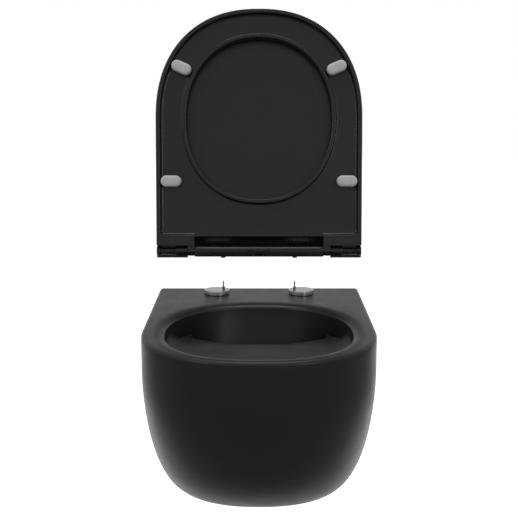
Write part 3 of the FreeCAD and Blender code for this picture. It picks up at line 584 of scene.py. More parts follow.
def blended(tree, value, low, high):
    """Mix two colours, each a plain tone or a socket, by a value from 0 to 1."""
    node = tree.nodes.new("ShaderNodeMix")
    node.data_type = "RGBA"
    tree.links.new(value, node.inputs["Factor"])
    for tone, socket in ((low, node.inputs["A"]), (high, node.inputs["B"])):
        if isinstance(tone, bpy.types.NodeSocket):
            tree.links.new(tone, socket)
        else:
            socket.default_value = (*tone, 1)
    return node.outputs["Result"]


def reckon(tree, operation, *values):
    """One arithmetic node, from sockets or plain numbers."""
    node = tree.nodes.new("ShaderNodeMath")
    node.operation = operation
    for value, socket in zip(values, node.inputs):
        if isinstance(value, bpy.types.NodeSocket):
            tree.links.new(value, socket)
        else:
            socket.default_value = value
    return node.outputs[0]


def bumped(tree, main, height, distance, strength):
    """Relief too fine to model."""
    node = tree.nodes.new("ShaderNodeBump")
    node.inputs["Distance"].default_value = distance
    node.inputs["Strength"].default_value = strength
    tree.links.new(height, node.inputs["Height"])
    tree.links.new(node.outputs["Normal"], main.inputs["Normal"])


def shade(tone, by):
    """A tone made lighter or darker."""
    return tuple(min(1.0, c * by) for c in tone)


def moulded(name, tone, rough, grain=900.0, cloud=14.0, spread=0.12, depth=0.00002, metal=0.0, specular=0.5):
    """A finish with a faint cloudiness in its colour, uneven gloss and a fine grain."""
    material, tree, main, place = shader(name)
    drift = ranged(tree, noise(tree, place, cloud), 0.0, 1.0)
    cloudy = blended(tree, drift, shade(tone, 1 - spread), shade(tone, 1 + spread))
    tree.links.new(cloudy, main.inputs["Base Color"])
    gloss = ranged(tree, noise(tree, place, cloud * 3), rough[0], rough[1])
    tree.links.new(gloss, main.inputs["Roughness"])
    bumped(tree, main, noise(tree, place, grain, 2.0), depth, 0.25)
    main.inputs["Metallic"].default_value = metal
    main.inputs["Specular IOR Level"].default_value = specular
    return material


def turned_steel(name, tone, centre_x, centre_y):
    """Steel with fine concentric lathe marks about an upright axis on both sides of the middle."""
    material, tree, main, place = shader(name)
    split = tree.nodes.new("ShaderNodeSeparateXYZ")
    tree.links.new(place, split.inputs[0])
    gather = tree.nodes.new("ShaderNodeCombineXYZ")
    tree.links.new(reckon(tree, "ABSOLUTE", split.outputs[0]), gather.inputs[0])
    tree.links.new(split.outputs[1], gather.inputs[1])
    tree.links.new(split.outputs[2], gather.inputs[2])
    centred = tree.nodes.new("ShaderNodeMapping")
    centred.inputs["Location"].default_value = (-centre_x, -centre_y, 0)
    tree.links.new(gather.outputs[0], centred.inputs["Vector"])
    wave = tree.nodes.new("ShaderNodeTexWave")
    wave.wave_type = "RINGS"
    wave.rings_direction = "Z"
    wave.inputs["Scale"].default_value = 260.0
    wave.inputs["Distortion"].default_value = 0.6
    wave.inputs["Detail"].default_value = 2.0
    tree.links.new(centred.outputs[0], wave.inputs["Vector"])
    streak = wave.outputs["Fac"]
    tree.links.new(blended(tree, streak, shade(tone, 0.82), shade(tone, 1.1)), main.inputs["Base Color"])
    tree.links.new(ranged(tree, noise(tree, place, 120.0), 0.18, 0.34), main.inputs["Roughness"])
    bumped(tree, main, streak, 0.00002, 0.35)
    main.inputs["Metallic"].default_value = 1.0
    return material


def coat(obj, material):
    """Give a piece or a carried-over node its one material."""
    obj.data.materials.clear()
    obj.data.materials.append(material)
    return obj


def finish_piece(obj, material, body, nodes, angle):
    """Coat and smooth a piece, put it on its body and hide the nodes it stands for."""
    coat(obj, material)
    soften(obj, angle)
    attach(obj, body)
    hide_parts(*nodes)


# ---------------------------------------------------------------- the pan
BODY_END_LEVEL = 0.985
FLOOR_FOOT = 0.42            # where the steep wall has become floor, as a share of the way to the sump
FLOOR_STEEPNESS = 2.6
FLOOR_DEPTH = 36 * MM
FLOOR_FALL = 3 * MM
SIDE_DEPTH = 38 * MM         # the lip of the sump climbs a little at the sides
CREST_START = 0.88
CREST_ROLL = 7 * MM
REAR_DEPTH = 100 * MM
SUMP_HALF = 114 * MM
SUMP_REAR = 157 * MM
SUMP_RUN = 89 * MM
SUMP_POWER = 3.6
NECK_DEPTH = 232 * MM
NECK_RADIUS = 33 * MM
NECK_FROM_WALL = 200 * MM
REAR_START = -0.46           # sine of the direction where the rear wall gives way to the shallow floor
REAR_BLEND = 0.42
SIDE_START = 0.7             # cosine of the direction where the floor gives way to the steep sides
SIDE_BLEND = 0.28

OUTLET_Z = -100 * MM
INLET_Z = 35 * MM
SPIGOT_RADIUS = 51 * MM
OUTLET_BORE = 41 * MM
OUTLET_DEPTH = -48 * MM
SOCKET_RADIUS = 36 * MM
INLET_BORE = 27.5 * MM
INLET_DEPTH = -48 * MM
TRAP_BORE = 31 * MM
TRAP_BEND = 50 * MM
CHANNEL_BORE = 16 * MM
CHANNEL_START = (0, -44 * MM, INLET_Z)
STUD_HOLE = 13 * MM
FIXING_HOLE = 7 * MM
PAST_WALL = 0.01             # how far a bore runs out through the wall's plane


def pan_sizes():
    """The pan's sizes, as a user may have changed them."""
    return bpy.context.scene.toilet_pan


def body_rings(recipe, inset, behind, levels):
    """Rings of the tapering body, from the node tree."""
    sizes = pan_sizes()
    unit = d_unit(sizes.outline_power)
    reach = -PAN_LOW.y - inset
    depth = (sizes.depth - sizes.shoulder) / BODY_END_LEVEL
    obj = points_only("body form", np.zeros((len(levels) * len(unit), 3)), {
        "sideways": np.tile(unit[:, 0], len(levels)),
        "along": np.tile(unit[:, 1], len(levels)),
        "ahead": np.tile(unit[:, 2], len(levels)),
        "level": np.repeat(levels, len(unit)),
        "behind": np.tile(np.where(unit[:, 1] == 0, behind, 0.0), len(levels)),
    })
    recipe.run(obj, **{
        "Half width": PAN_HIGH.x - inset,
        "Reach": reach,
        "Nose": sizes.nose * reach / -PAN_LOW.y,
        "Core": sizes.plan_core - inset,
        "Top": PAN_HIGH.z - sizes.shoulder,
        "Height": depth - inset,
        "Side fall": sizes.side_fall,
        "Side bend": sizes.side_bend,
        "Front fall": sizes.front_fall,
        "Front bend": sizes.front_bend,
    })
    points = np.array([v.co for v in obj.data.vertices]).reshape(len(levels), len(unit), 3)
    bpy.data.objects.remove(obj)
    return list(points)


def eased(share):
    """A share kept within 0..1 that starts and ends gently."""
    share = np.clip(share, 0, 1)
    return share * share * (3 - 2 * share)


def bowl_depth(share, angles):
    """Depth below the top face, from the bowl's edge (0) to the lip of the sump (1), for each direction."""
    sizes = pan_sizes()
    ahead = eased((np.sin(angles) - REAR_START) / REAR_BLEND)
    sideways = eased((np.abs(np.cos(angles)) - SIDE_START) / SIDE_BLEND)
    foot = 1 - (1 - min(share / FLOOR_FOOT, 1)) ** FLOOR_STEEPNESS
    fall = max(share - FLOOR_FOOT, 0) / (1 - FLOOR_FOOT)
    roll = max(share - CREST_START, 0) / (1 - CREST_START)
    crest = CREST_ROLL * (1 - math.sqrt(max(0.0, 1 - roll * roll)))
    shallow = sizes.rim_drop + (FLOOR_DEPTH - sizes.rim_drop) * foot + FLOOR_FALL * fall
    steep = sizes.rim_drop + (SIDE_DEPTH - sizes.rim_drop) * share ** 0.34
    shallow = lerp(shallow + crest, steep, sideways)
    deep = sizes.rim_drop + (REAR_DEPTH - sizes.rim_drop) * share ** 0.8
    return lerp(deep, shallow, ahead)


def bowl_rings(grow, angles):
    """Rings of the bowl from just under its rim down to the neck of the sump."""
    sizes = pan_sizes()
    half, rear = PAN_HIGH.x - sizes.rim_side, sizes.bowl_rear
    run = -PAN_LOW.y - sizes.rim_front - rear
    rings = []
    stretches = ((0, FLOOR_FOOT, 15), (FLOOR_FOOT, 0.86, 12), (0.86, 1, 9))
    for share in np.concatenate([np.linspace(start, end, count)[1:] for start, end, count in stretches]):
        ring = oval_ring(
            lerp(half, SUMP_HALF, share) + grow,
            lerp(rear, SUMP_REAR, share) - grow,
            lerp(run, SUMP_RUN, share) + 2 * grow,
            sizes.bowl_power,
            angles,
            lerp(sizes.bowl_power, SUMP_POWER, share ** 2),
        )
        rings.append(standing(ring, PAN_HIGH.z - bowl_depth(share, angles) - grow * share))
    edge = bowl_depth(1.0, angles) + grow
    for share in np.linspace(0, 1, 15)[1:]:
        narrow = 1 - math.cos(share * math.pi / 2) ** 0.8
        ring = oval_ring(
            lerp(SUMP_HALF, NECK_RADIUS, narrow) + grow,
            lerp(SUMP_REAR, NECK_FROM_WALL - NECK_RADIUS, narrow) - grow,
            lerp(SUMP_RUN, 2 * NECK_RADIUS, narrow) + 2 * grow,
            lerp(sizes.bowl_power, 2.0, share),
            angles,
            lerp(SUMP_POWER, 2.0, min(1.0, 1.6 * share)),
        )
        rings.append(standing(ring, PAN_HIGH.z - lerp(edge, NECK_DEPTH, share ** 0.85)))
    return rings


def trap_path(end):
    """Centre line of the trap: down from the sump, round, up and out to the wall."""
    bend = TRAP_BEND
    down, rise = -NECK_FROM_WALL, -NECK_FROM_WALL + 2 * bend
    low, high = OUTLET_Z - bend - 8 * MM, OUTLET_Z - bend
    path = [(0, down, high + 9 * MM)]
    for a in np.linspace(0, math.pi, 21):
        path.append((0, (down + rise) / 2 - bend * math.cos(a), low - bend * math.sin(a)))
    for a in quarter(11):
        path.append((0, rise + bend * (1 - math.cos(a)), high + bend * math.sin(a)))
    return path + [(0, end, OUTLET_Z)]


def pan_block(recipe):
    """The pan as a solid block with its rim, bowl and sump sunk in."""
    sizes = pan_sizes()
    half, reach, top = PAN_HIGH.x, -PAN_LOW.y, PAN_HIGH.z
    radius, nose = sizes.edge_radius, sizes.nose
    levels = BODY_END_LEVEL * np.sin(quarter(34))[::-1]
    rings = body_rings(recipe, 0.0, 0.0, levels)
    outline = d_ring(half, reach, nose, 0.0, sizes.outline_power)
    for z in np.linspace(top - sizes.shoulder, top - radius, 6)[1:]:
        rings.append(standing(outline, z))
    for a in quarter(8)[1:]:
        inset = radius * (1 - math.cos(a))
        ring = d_ring(half - inset, reach - inset, nose - inset, 0.0, sizes.outline_power)
        rings.append(standing(ring, top - radius + radius * math.sin(a)))
    bowl_half, bowl_rear = half - sizes.rim_side, sizes.bowl_rear
    run = reach - sizes.rim_front - bowl_rear
    angles = directions(outline, bowl_rear + run / 2)
    roll = sizes.rim_roll
    outer = oval_ring(bowl_half + roll, bowl_rear - roll, run + 2 * roll, sizes.bowl_power, angles)
    deck = rings[-1][:, :2] * (1, -1)
    for t in (0.04, 0.35, 0.65, 0.96, 1.0):
        rings.append(standing(lerp(deck, outer, t), top))
    for a in quarter(15)[1:]:
        grow = roll * (1 - math.sin(a))
        ring = oval_ring(bowl_half + grow, bowl_rear - grow, run + 2 * grow, sizes.bowl_power, angles)
        rings.append(standing(ring, top - sizes.rim_drop * (1 - math.cos(a))))
    rings += bowl_rings(0.0, angles)
    return piece("pan", *skin(rings)), angles


class TOILET_OT_pan(bpy.types.Operator):
    """Make the ceramic pan with its bowl, sump, trap and hollow body"""
    bl_idname = "toilet.make_pan"
    bl_label = "Pan"

    def execute(self, context):
        sizes = pan_sizes()
        tone = context.scene.toilet_finishes.glaze
        glaze = moulded("matte_black_glaze", tone, (0.35, 0.41), 700.0, 9.0, 0.1)
        recipe = body_recipe(glaze)
        pan, angles = pan_block(recipe)
        top, wall = PAN_HIGH.z, sizes.bowl_wall
        levels = BODY_END_LEVEL * np.sin(quarter(20))[::-1]
        inner = body_rings(recipe, sizes.wall, 2 * MM, levels)
        ceiling = inner[-1].copy()
        ceiling[:, 2] = top - sizes.deck
        hollow = piece("hollow", *skin(inner + [ceiling]))
        bowl = bowl_rings(wall, angles)
        lid = bowl[0].copy()
        lid[:, 2] = top + 5 * MM
        kept = [
            piece("bowl wall", *skin([lid] + bowl)),
            block("rear band", (-0.3, -24 * MM, -36 * MM), (0.3, 0.05, top + 0.05)),
            pipe("trap wall", trap_path(OUTLET_DEPTH), TRAP_BORE + wall),
            cylinder_to_wall("spigot", SPIGOT_RADIUS, 0, OUTLET_Z, OUTLET_DEPTH - 6 * MM, 0.02),
            cylinder_to_wall("inlet socket", SOCKET_RADIUS, 0, INLET_Z, INLET_DEPTH - 8.5 * MM, 0.02),
            pipe("channel wall", [CHANNEL_START, (0, -150 * MM, -30 * MM)], CHANNEL_BORE + wall),
        ]
        carve(pan, [carve(hollow, kept)])
        holes = [
            pipe("trap bore", trap_path(OUTLET_DEPTH - CUT), TRAP_BORE),
            cylinder_to_wall("outlet bore", OUTLET_BORE, 0, OUTLET_Z, OUTLET_DEPTH, PAST_WALL),
            cylinder_to_wall("inlet bore", INLET_BORE, 0, INLET_Z, INLET_DEPTH, PAST_WALL),
            pipe("channel bore", [CHANNEL_START, (0, -160 * MM, -34 * MM)], CHANNEL_BORE),
        ]
        for name in SIDES:
            bush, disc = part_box("wall_bush_" + name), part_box("disc_stud_" + name)
            x, _, z = middle_of(bush)
            holes.append(cylinder_to_wall("stud hole", STUD_HOLE, x, z, -84 * MM, PAST_WALL))
            x, y, _ = middle_of(disc)
            holes.append(upright("fixing hole", FIXING_HOLE, x, y, top - 76 * MM, top + 0.01))
        carve(pan, holes)
        tidy(pan)
        finish_piece(pan, glaze, "pan", ["pan_ceramic"], 40)
        return {"FINISHED"}


# ---------------------------------------------------------------- seat and cover
SEAT_POWER = 2.26            # squareness of the seat's rounded front
AXLE_BORE = 6 * MM


def seat_ring_at(inset, rear):
    """The outline shared by seat and cover, drawn in by an inset."""
    sizes = bpy.context.scene.toilet_seat
    half, nose = SEAT_HIGH.x - inset, sizes.nose - inset
    return d_ring(half, seat_reach() - inset, nose, rear, SEAT_POWER, SEAT_HIGH.x - sizes.taper - inset)


def seat_reach():
    """Hinge axis to the front edge of the closed seat; folded up, its underside stands highest."""
    lip_face = bpy.context.scene.toilet_seat.lip_face
    return (SEAT_HIGH.z - AXIS.z - lip_face * math.cos(OPEN_ANGLE)) / math.sin(OPEN_ANGLE)


def opening_at(grow, angles):
    """The outline of the opening, made larger by a margin."""
    sizes = bpy.context.scene.toilet_seat
    run = seat_reach() - sizes.opening_rear - sizes.ring_front
    half = SEAT_HIGH.x - sizes.ring_side + grow
    return oval_ring(half, sizes.opening_rear - grow, run + 2 * grow, sizes.opening_power, angles)


def rounded_plate(name, outline, low, high, low_round, high_round, steps=5):
    """A plate whose outline is a function of inset and whose two edges are rounded."""
    flat = 1.5 * MM
    rings = [closed(outline(low_round + flat), low)]
    for a in quarter(steps):
        rings.append(closed(outline(low_round * (1 - math.sin(a))), low + low_round * (1 - math.cos(a))))
    for a in quarter(steps)[::-1]:
        inset = high_round * (1 - math.sin(a))
        rings.append(closed(outline(inset), high - high_round * (1 - math.cos(a))))
    rings.append(closed(outline(high_round + flat), high))
    return piece(name, *skin(rings))


def across_prism(name, half, section):
    """A section of (forward, above) points drawn right across, from -half to half."""
    section = np.array(section)
    return piece(name, *skin([np.column_stack([np.full(len(section), x), section]) for x in (-half, half)]))


def up(obj):
    """Move a piece made closed, about the hinge axis, to its stored place."""
    points = folded([v.co for v in obj.data.vertices])
    obj.data.vertices.foreach_set("co", points.ravel())
    tidy(obj)
    return obj


def lug(name, x0, x1, forward, low, high):
    """A hinge knuckle: a barrel on the axis joined to the plate by a web."""
    sizes = bpy.context.scene.toilet_seat
    x0, x1 = sorted((x0, x1))
    barrel = rod_across(name, x0, x1, sizes.knuckle, ON_AXIS, 64, 0.5 * MM)
    web = block("web", (x0, forward[0], low), (x1, forward[1], high))
    return carve(barrel, [web], "UNION")


def hinge_stations():
    """Ends of the seat's knuckle, the cover's knuckle and the barrel's recess along the axis."""
    play = 0.4 * MM
    seat_bush, cover_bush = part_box("seat_hinge_bush_right"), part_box("cover_hinge_bush_right")
    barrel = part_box("spindle_barrel_right")
    return seat_bush[0].x, seat_bush[1].x, cover_bush[0].x, cover_bush[1].x, barrel[1].x + play


class TOILET_OT_seat(bpy.types.Operator):
    """Make the seat ring with its recessed underside, corner blocks and knuckles"""
    bl_idname = "toilet.make_seat"
    bl_label = "Seat"

    def execute(self, context):
        sizes = context.scene.toilet_seat
        tone = context.scene.toilet_finishes.lacquer
        lacquer = moulded("satin_black_seat", tone, (0.25, 0.31), 1400.0, 7.0, 0.08, specular=0.56)
        top, low, web = sizes.top, sizes.lip_face, sizes.web_face
        outline = seat_ring_at(0.0, sizes.rear)
        seat = rounded_plate(
            "seat", lambda inset: seat_ring_at(inset, sizes.rear), low, top, sizes.edge, 2 * sizes.edge,
        )
        middle = (sizes.opening_rear + seat_reach() - sizes.ring_front) / 2
        angles = directions(outline, middle)
        opening = self.opening(angles, low, top)
        recess = self.recess(angles, low, web)
        seat_in, seat_out, *_ = hinge_stations()
        notch = across_prism("notch", seat_in, [
            (-50 * MM, low - CUT), (sizes.web_rear, low - CUT), (sizes.web_rear, web),
            (sizes.web_bevel, top), (sizes.web_bevel, top + CUT), (-50 * MM, top + CUT),
        ])
        clear = block("clear", (-seat_in, 0.0, low - CUT), (seat_in, sizes.recess_rear + 4 * MM, web))
        carve(seat, [recess, opening, notch, clear])
        for side in SIDES.values():
            x0, x1, knuckle = side * seat_in, side * seat_out, sizes.knuckle
            carve(seat, [lug("knuckle", x0, x1, (0, sizes.rear + 6 * MM), -knuckle, knuckle)], "UNION")
            x0, x1 = side * (seat_in - CUT), side * (seat_out + CUT)
            carve(seat, [rod_across("bore", x0, x1, AXLE_BORE, ON_AXIS)])
        finish_piece(up(seat), lacquer, "seat", ["seat_ring"], 38)
        return {"FINISHED"}

    def opening(self, angles, low, top):
        """The opening as a cutter, flared at both faces so that its edges come out rounded."""
        face, back = 2.2 * MM, 4.5 * MM
        rings = [closed(opening_at(face, angles), low - CUT)]
        for a in quarter(6):
            rings.append(closed(opening_at(face * (1 - math.sin(a)), angles), low + face * (1 - math.cos(a))))
        for a in quarter(8)[::-1]:
            rings.append(closed(opening_at(back * (1 - math.sin(a)), angles), top - back * (1 - math.cos(a))))
        rings.append(closed(opening_at(back, angles), top + CUT))
        return piece("opening", *skin(rings))

    def recess(self, angles, low, web):
        """The hollow between the outer lip and the lip of the opening, as a ring-shaped cutter."""
        sizes = bpy.context.scene.toilet_seat
        lip, edge, fillet, foot = sizes.lip, sizes.edge, sizes.fillet, sizes.foot
        rear = sizes.recess_rear

        def outer(inset):
            return round_rear(seat_ring_at(lip + inset, rear + inset), sizes.corner - inset)

        rings = [closed(outer(-edge), low - CUT)]
        for a in quarter(5):
            rings.append(closed(outer(-edge * (1 - math.sin(a))), low + edge * (1 - math.cos(a))))
        for a in quarter(6)[::-1]:
            rings.append(closed(outer(foot * (1 - math.sin(a))), web - foot * (1 - math.cos(a))))
        floor_outer = outer(foot)
        floor_inner = opening_at(lip + fillet, angles)
        for t in np.linspace(0, 1, 5)[1:-1]:
            rings.append(closed(lerp(floor_outer, floor_inner, t), web))
        for a in quarter(6):
            grow = lip + fillet * (1 - math.sin(a))
            rings.append(closed(opening_at(grow, angles), web - fillet * (1 - math.cos(a))))
        for a in quarter(5)[::-1]:
            grow = lip - edge * (1 - math.sin(a))
            rings.append(closed(opening_at(grow, angles), low + edge * (1 - math.cos(a))))
        rings.append(closed(opening_at(lip - edge, angles), low - CUT))
        return piece("recess", *skin(rings, loop=True))


class TOILET_OT_cover(bpy.types.Operator):
    """Make the cover with its shallow hollow, rounded edge, knuckles and ears"""
    bl_idname = "toilet.make_cover"
    bl_label = "Cover"

    def execute(self, context):
        sizes = context.scene.toilet_seat
        tone = context.scene.toilet_finishes.lacquer
        lacquer = moulded("satin_black_cover", tone, (0.23, 0.3), 1400.0, 6.0, 0.08, specular=0.56)
        low, top = sizes.cover_low, sizes.cover_top
        cover = rounded_plate(
            "cover", lambda inset: seat_ring_at(inset, sizes.cover_rear + inset), low, top,
            0.8 * MM, sizes.cover_round, 8,
        )
        band, rear = sizes.cover_band, sizes.recess_rear + sizes.lip
        hollow = rounded_plate(
            "hollow", lambda inset: seat_ring_at(band + inset, rear + inset),
            low - CUT, low + sizes.cover_hollow, 0.0, 2 * MM,
        )
        seat_in, _, cover_in, cover_out, ear = hinge_stations()
        relief = across_prism("relief", seat_in, [
            (-30 * MM, low - CUT), (sizes.web_bevel + 4 * MM, low - CUT), (sizes.web_bevel + 3 * MM, low),
            (9 * MM, low + 8 * MM), (-30 * MM, low + 8 * MM),
        ])
        carve(cover, [hollow, relief])
        for side in SIDES.values():
            tip = side * (SEAT_HIGH.x - sizes.taper)
            span, joined = (sizes.heel, sizes.knuckle), low + 0.5 * MM
            lugs = [
                lug("knuckle", side * cover_in, side * cover_out, span, 0.0, joined),
                lug("ear", side * ear, tip, span, 0.0, joined),
            ]
            x0, x1 = sorted((side * cover_in, tip))
            far = (x1, sizes.cover_rear + 3 * MM, top - sizes.cover_round)
            lugs.append(block("tail", (x0, sizes.heel, low), far))
            carve(cover, lugs, "UNION")
            x0, x1 = side * (cover_in - CUT), side * (cover_out + CUT)
            carve(cover, [rod_across("bore", x0, x1, AXLE_BORE, ON_AXIS)])
        finish_piece(up(cover), lacquer, "cover", ["cover_shell"], 38)
        return {"FINISHED"}


# ---------------------------------------------------------------- pads
class TOILET_OT_pads(bpy.types.Operator):
    """Make the pads under the seat and the small buttons under the cover"""
    bl_idname = "toilet.make_pads"
    bl_label = "Pads"

    def execute(self, context):
        scene = context.scene
        rubber = moulded("soft_grey_pads", scene.toilet_finishes.pad, (0.42, 0.55), 500.0, 60.0, 0.06)
        recipe = pad_recipe(rubber)
        seat, reach, half = scene.toilet_seat, seat_reach(), SEAT_HIGH.x
        clearance = 0.3 * MM
        docked = AXIS.z + JOINTS["bar_lift"]["range_m"][0]
        foot = PAN_HIGH.z + clearance - docked
        tilt = math.radians(23)
        bumpers = [(half - 28.1 * MM, 126 * MM, 0.0), (half - 46.7 * MM, reach - 106.8 * MM, tilt)]
        seat_pads = self.pads(recipe, "seat_bumpers", bumpers, foot, seat.web_face, 18.7 * MM, 10.3 * MM, 4.2)
        finish_piece(seat_pads, rubber, "seat", self.nodes("seat_bumper_"), 50)
        buttons = [(half - 27.1 * MM, 60 * MM, 0.0), (half - 67.1 * MM, reach - 66.3 * MM, 0.0)]
        low, high = seat.top + clearance, seat.cover_low + seat.cover_hollow
        cover_pads = self.pads(recipe, "cover_buttons", buttons, low, high, 5 * MM, 5 * MM, 6.0)
        finish_piece(cover_pads, rubber, "cover", self.nodes("cover_buffer_"), 50)
        return {"FINISHED"}

    def nodes(self, prefix):
        """The nodes of four like pads."""
        return [prefix + place + "_" + side for place in ("rear", "front") for side in SIDES]

    def pads(self, recipe, name, places, low, high, long_half, radius, squareness):
        """Like pads on both sides, at places given as (sideways, forward, tilt), between two heights."""
        middle = (low + high) / 2
        points = [(side * x, forward, middle) for side in SIDES.values() for x, forward, _ in places]
        tilts = [side * tilt for side in SIDES.values() for _, _, tilt in places]
        obj = points_only(name, points, {"tilt": tilts})
        recipe.run(obj, **{
            "Half run": long_half - radius, "Radius": radius, "Height": high - low, "Squareness": squareness,
        })
        return up(obj)


# ---------------------------------------------------------------- hinge bar
def bar_section(inset, radius, depth, corner, count=25):
    """The bar's section, round above and square below with soft corners, as (forward, up) from the axis."""
    r, half = radius - inset, depth / 2 - inset
    arc = [(r * math.cos(a) * half / r, r * math.sin(a)) for a in np.linspace(0, math.pi, count)]
    left = [(-half + corner * (1 - math.cos(a)), -r + corner * (1 - math.sin(a))) for a in quarter(5)]
    right = [(half - corner * (1 - math.sin(a)), -r + corner * (1 - math.cos(a))) for a in quarter(5)]
    return np.array(arc + left + right)


def along_bar(name, x0, x1, section, edge=0.5 * MM):
    """A section drawn along x, its ends drawn in a little."""
    rings = []
    near = [(x0 + edge * (1 - math.sin(a)), edge * (1 - math.cos(a))) for a in quarter(4)[::-1]]
    for x, inset in near + [(x0 + x1 - x, inset) for x, inset in reversed(near)]:
        points = section(inset)
        rings.append(np.column_stack([np.full(len(points), x), AXIS.y + points[:, 0], AXIS.z + points[:, 1]]))
    return piece(name, *skin(rings))


def button_solid(name, grow, front, back, travel=0.0):
    """The release button: a flat middle and chamfered ends, with softened edges."""
    sizes = bpy.context.scene.toilet_bar
    flat, full = sizes.button_flat / 2 + grow, sizes.button_width / 2 + grow
    height = sizes.button_height / 2 + grow
    shoulder, corner = front + 1.4 * MM, 0.25
    rings = []
    for y, half, tall in (
        (back, full, height),
        (shoulder, full, height),
        (shoulder - 0.25 * MM, full - 1.6 * MM, height - 0.05 * MM),
        (front + 0.3 * MM, flat + 1.4 * MM, height - 0.35 * MM),
        (front, flat, height - 0.8 * MM),
    ):
        ring = []
        for a in np.linspace(0, 2 * math.pi, 48, endpoint=False):
            c, s = math.cos(a), math.sin(a)
            ring.append((bent_power(c, corner) * half, y + travel, AXIS.z + bent_power(s, corner) * tall))
        rings.append(np.array(ring))
    return piece(name, *skin(rings))


class TOILET_OT_hinge_bar(bpy.types.Operator):
    """Make the hinge bar's housing and its release button"""
    bl_idname = "toilet.make_hinge_bar"
    bl_label = "Hinge bar"

    def execute(self, context):
        sizes = context.scene.toilet_bar
        tone = context.scene.toilet_finishes.lacquer
        black = moulded("satin_black_bar", tone, (0.22, 0.3), 1600.0, 25.0, 0.08)
        x0, x1 = BAR_LOW.x, BAR_HIGH.x
        bar = along_bar("hinge_bar", x0, x1, lambda i: bar_section(i, sizes.radius, sizes.depth, 0.7 * MM))
        wall = sizes.wall
        inner = along_bar(
            "inside", x0 + wall, x1 - wall, lambda _: bar_section(wall, sizes.radius, sizes.depth, 0.3 * MM),
            0.01 * MM,
        )
        half = sizes.depth / 2 - wall
        under = AXIS.z - sizes.radius
        near, far = (x0 + wall, AXIS.y - half, under - CUT), (x1 - wall, AXIS.y + half, under + 4 * MM)
        mouth = block("mouth", near, far)
        front = AXIS.y - sizes.depth / 2 - sizes.button_proud
        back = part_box("release_button")[0].y + 3.8 * MM
        gap = sizes.button_gap
        travel = 3.2 * MM
        windows = [button_solid("window", gap, front - 4 * MM, back + gap, t) for t in (0.0, travel)]
        carve(bar, [inner, mouth] + windows)
        for side in SIDES.values():
            carve(bar, [rod_across("bore", side * (x1 - 3 * MM), side * (x1 + CUT), 4 * MM, AXIS)])
        finish_piece(bar, black, "hinge_bar", ["hinge_bar_housing"], 35)
        button = button_solid("release_button_face", 0.0, front, back)
        low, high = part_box("latch_right")[0].z - 0.6 * MM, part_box("latch_right")[1].z + 0.6 * MM
        base, deep = 10 * MM, 7 * MM
        inner_end, outer_end = back - 0.5 * MM, back + deep
        tip = base - deep
        plan = np.array([(-base, inner_end), (base, inner_end), (tip, outer_end), (-tip, outer_end)])
        wedge = piece("wedge", *skin([np.column_stack([plan, np.full(4, z)]) for z in (low, high)]))
        carve(button, [wedge], "UNION")
        button_black = moulded("satin_black_button", tone, (0.24, 0.32), 1600.0, 30.0, 0.08)
        finish_piece(button, button_black, "release_button", ["release_button"], 35)
        return {"FINISHED"}


# ---------------------------------------------------------------- steel fixings
PIN_FOOT = 2.7 * MM


class TOILET_OT_fixings(bpy.types.Operator):
    """Make the two steel discs and their turned pins"""
    bl_idname = "toilet.make_fixings"
    bl_label = "Discs and pins"

    def execute(self, context):
        steel = context.scene.toilet_finishes.steel
        for name in SIDES:
            low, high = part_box("eccentric_disc_" + name)
            x, y, _ = middle_of((low, high))
            radius, tall, soft = (high.x - low.x) / 2, high.z - low.z, 0.7 * MM
            profile = [(radius - 0.3 * MM, 0.0), (radius, 0.3 * MM), (radius, tall - soft)]
            for a in quarter(5)[1:]:
                profile.append((radius - soft * (1 - math.cos(a)), tall - soft * (1 - math.sin(a))))
            for inset, sunk in ((3, 0), (3.4, 0.25), (3.8, 0)):
                profile.append((radius - inset * MM, tall - sunk * MM))
            disc = turned("disc_" + name, profile, (x, y, low.z), 128)
            disc_steel = turned_steel("disc_steel_" + name, steel, abs(x), y)
            pin_low, pin_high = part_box("hinge_pin_" + name)
            px, py, _ = middle_of((pin_low, pin_high))
            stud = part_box("disc_stud_" + name)
            carve(disc, [
                upright("stud bore", 4 * MM, x, y, low.z - CUT, stud[1].z),
                upright("pin bore", PIN_FOOT, px, py, pin_low.z, high.z + CUT),
            ])
            finish_piece(disc, disc_steel, "disc_" + name, ["eccentric_disc_" + name], 30)
            profile = self.pin_profile(high.z - pin_low.z, pin_high.z - high.z)
            pin = turned("pin_" + name, profile, (px, py, pin_low.z), 48)
            pin_steel = turned_steel("pin_steel_" + name, shade(steel, 0.95), abs(px), py)
            finish_piece(pin, pin_steel, "disc_" + name, ["hinge_pin_" + name], 30)
        return {"FINISHED"}

    def pin_profile(self, sunk, tall):
        """Radius and height of the turned pin: foot, neck, ball and thin tip."""
        foot, neck, ball, tip = PIN_FOOT, 1.3 * MM, 2.1 * MM, 0.8 * MM
        foot_top, ball_middle = sunk + 8.5 * MM, sunk + 15.5 * MM
        soft = 0.4 * MM
        profile = [(foot, 0.0), (foot, foot_top - soft), (foot - soft, foot_top), (neck, foot_top + 0.5 * MM)]
        start, end = math.asin(neck / ball), math.pi - math.asin(tip / ball)
        for a in np.linspace(start, end, 12):
            profile.append((ball * math.sin(a), ball_middle - ball * math.cos(a)))
        return profile + [(tip, sunk + tall - 0.3 * MM), (tip - 0.3 * MM, sunk + tall)]


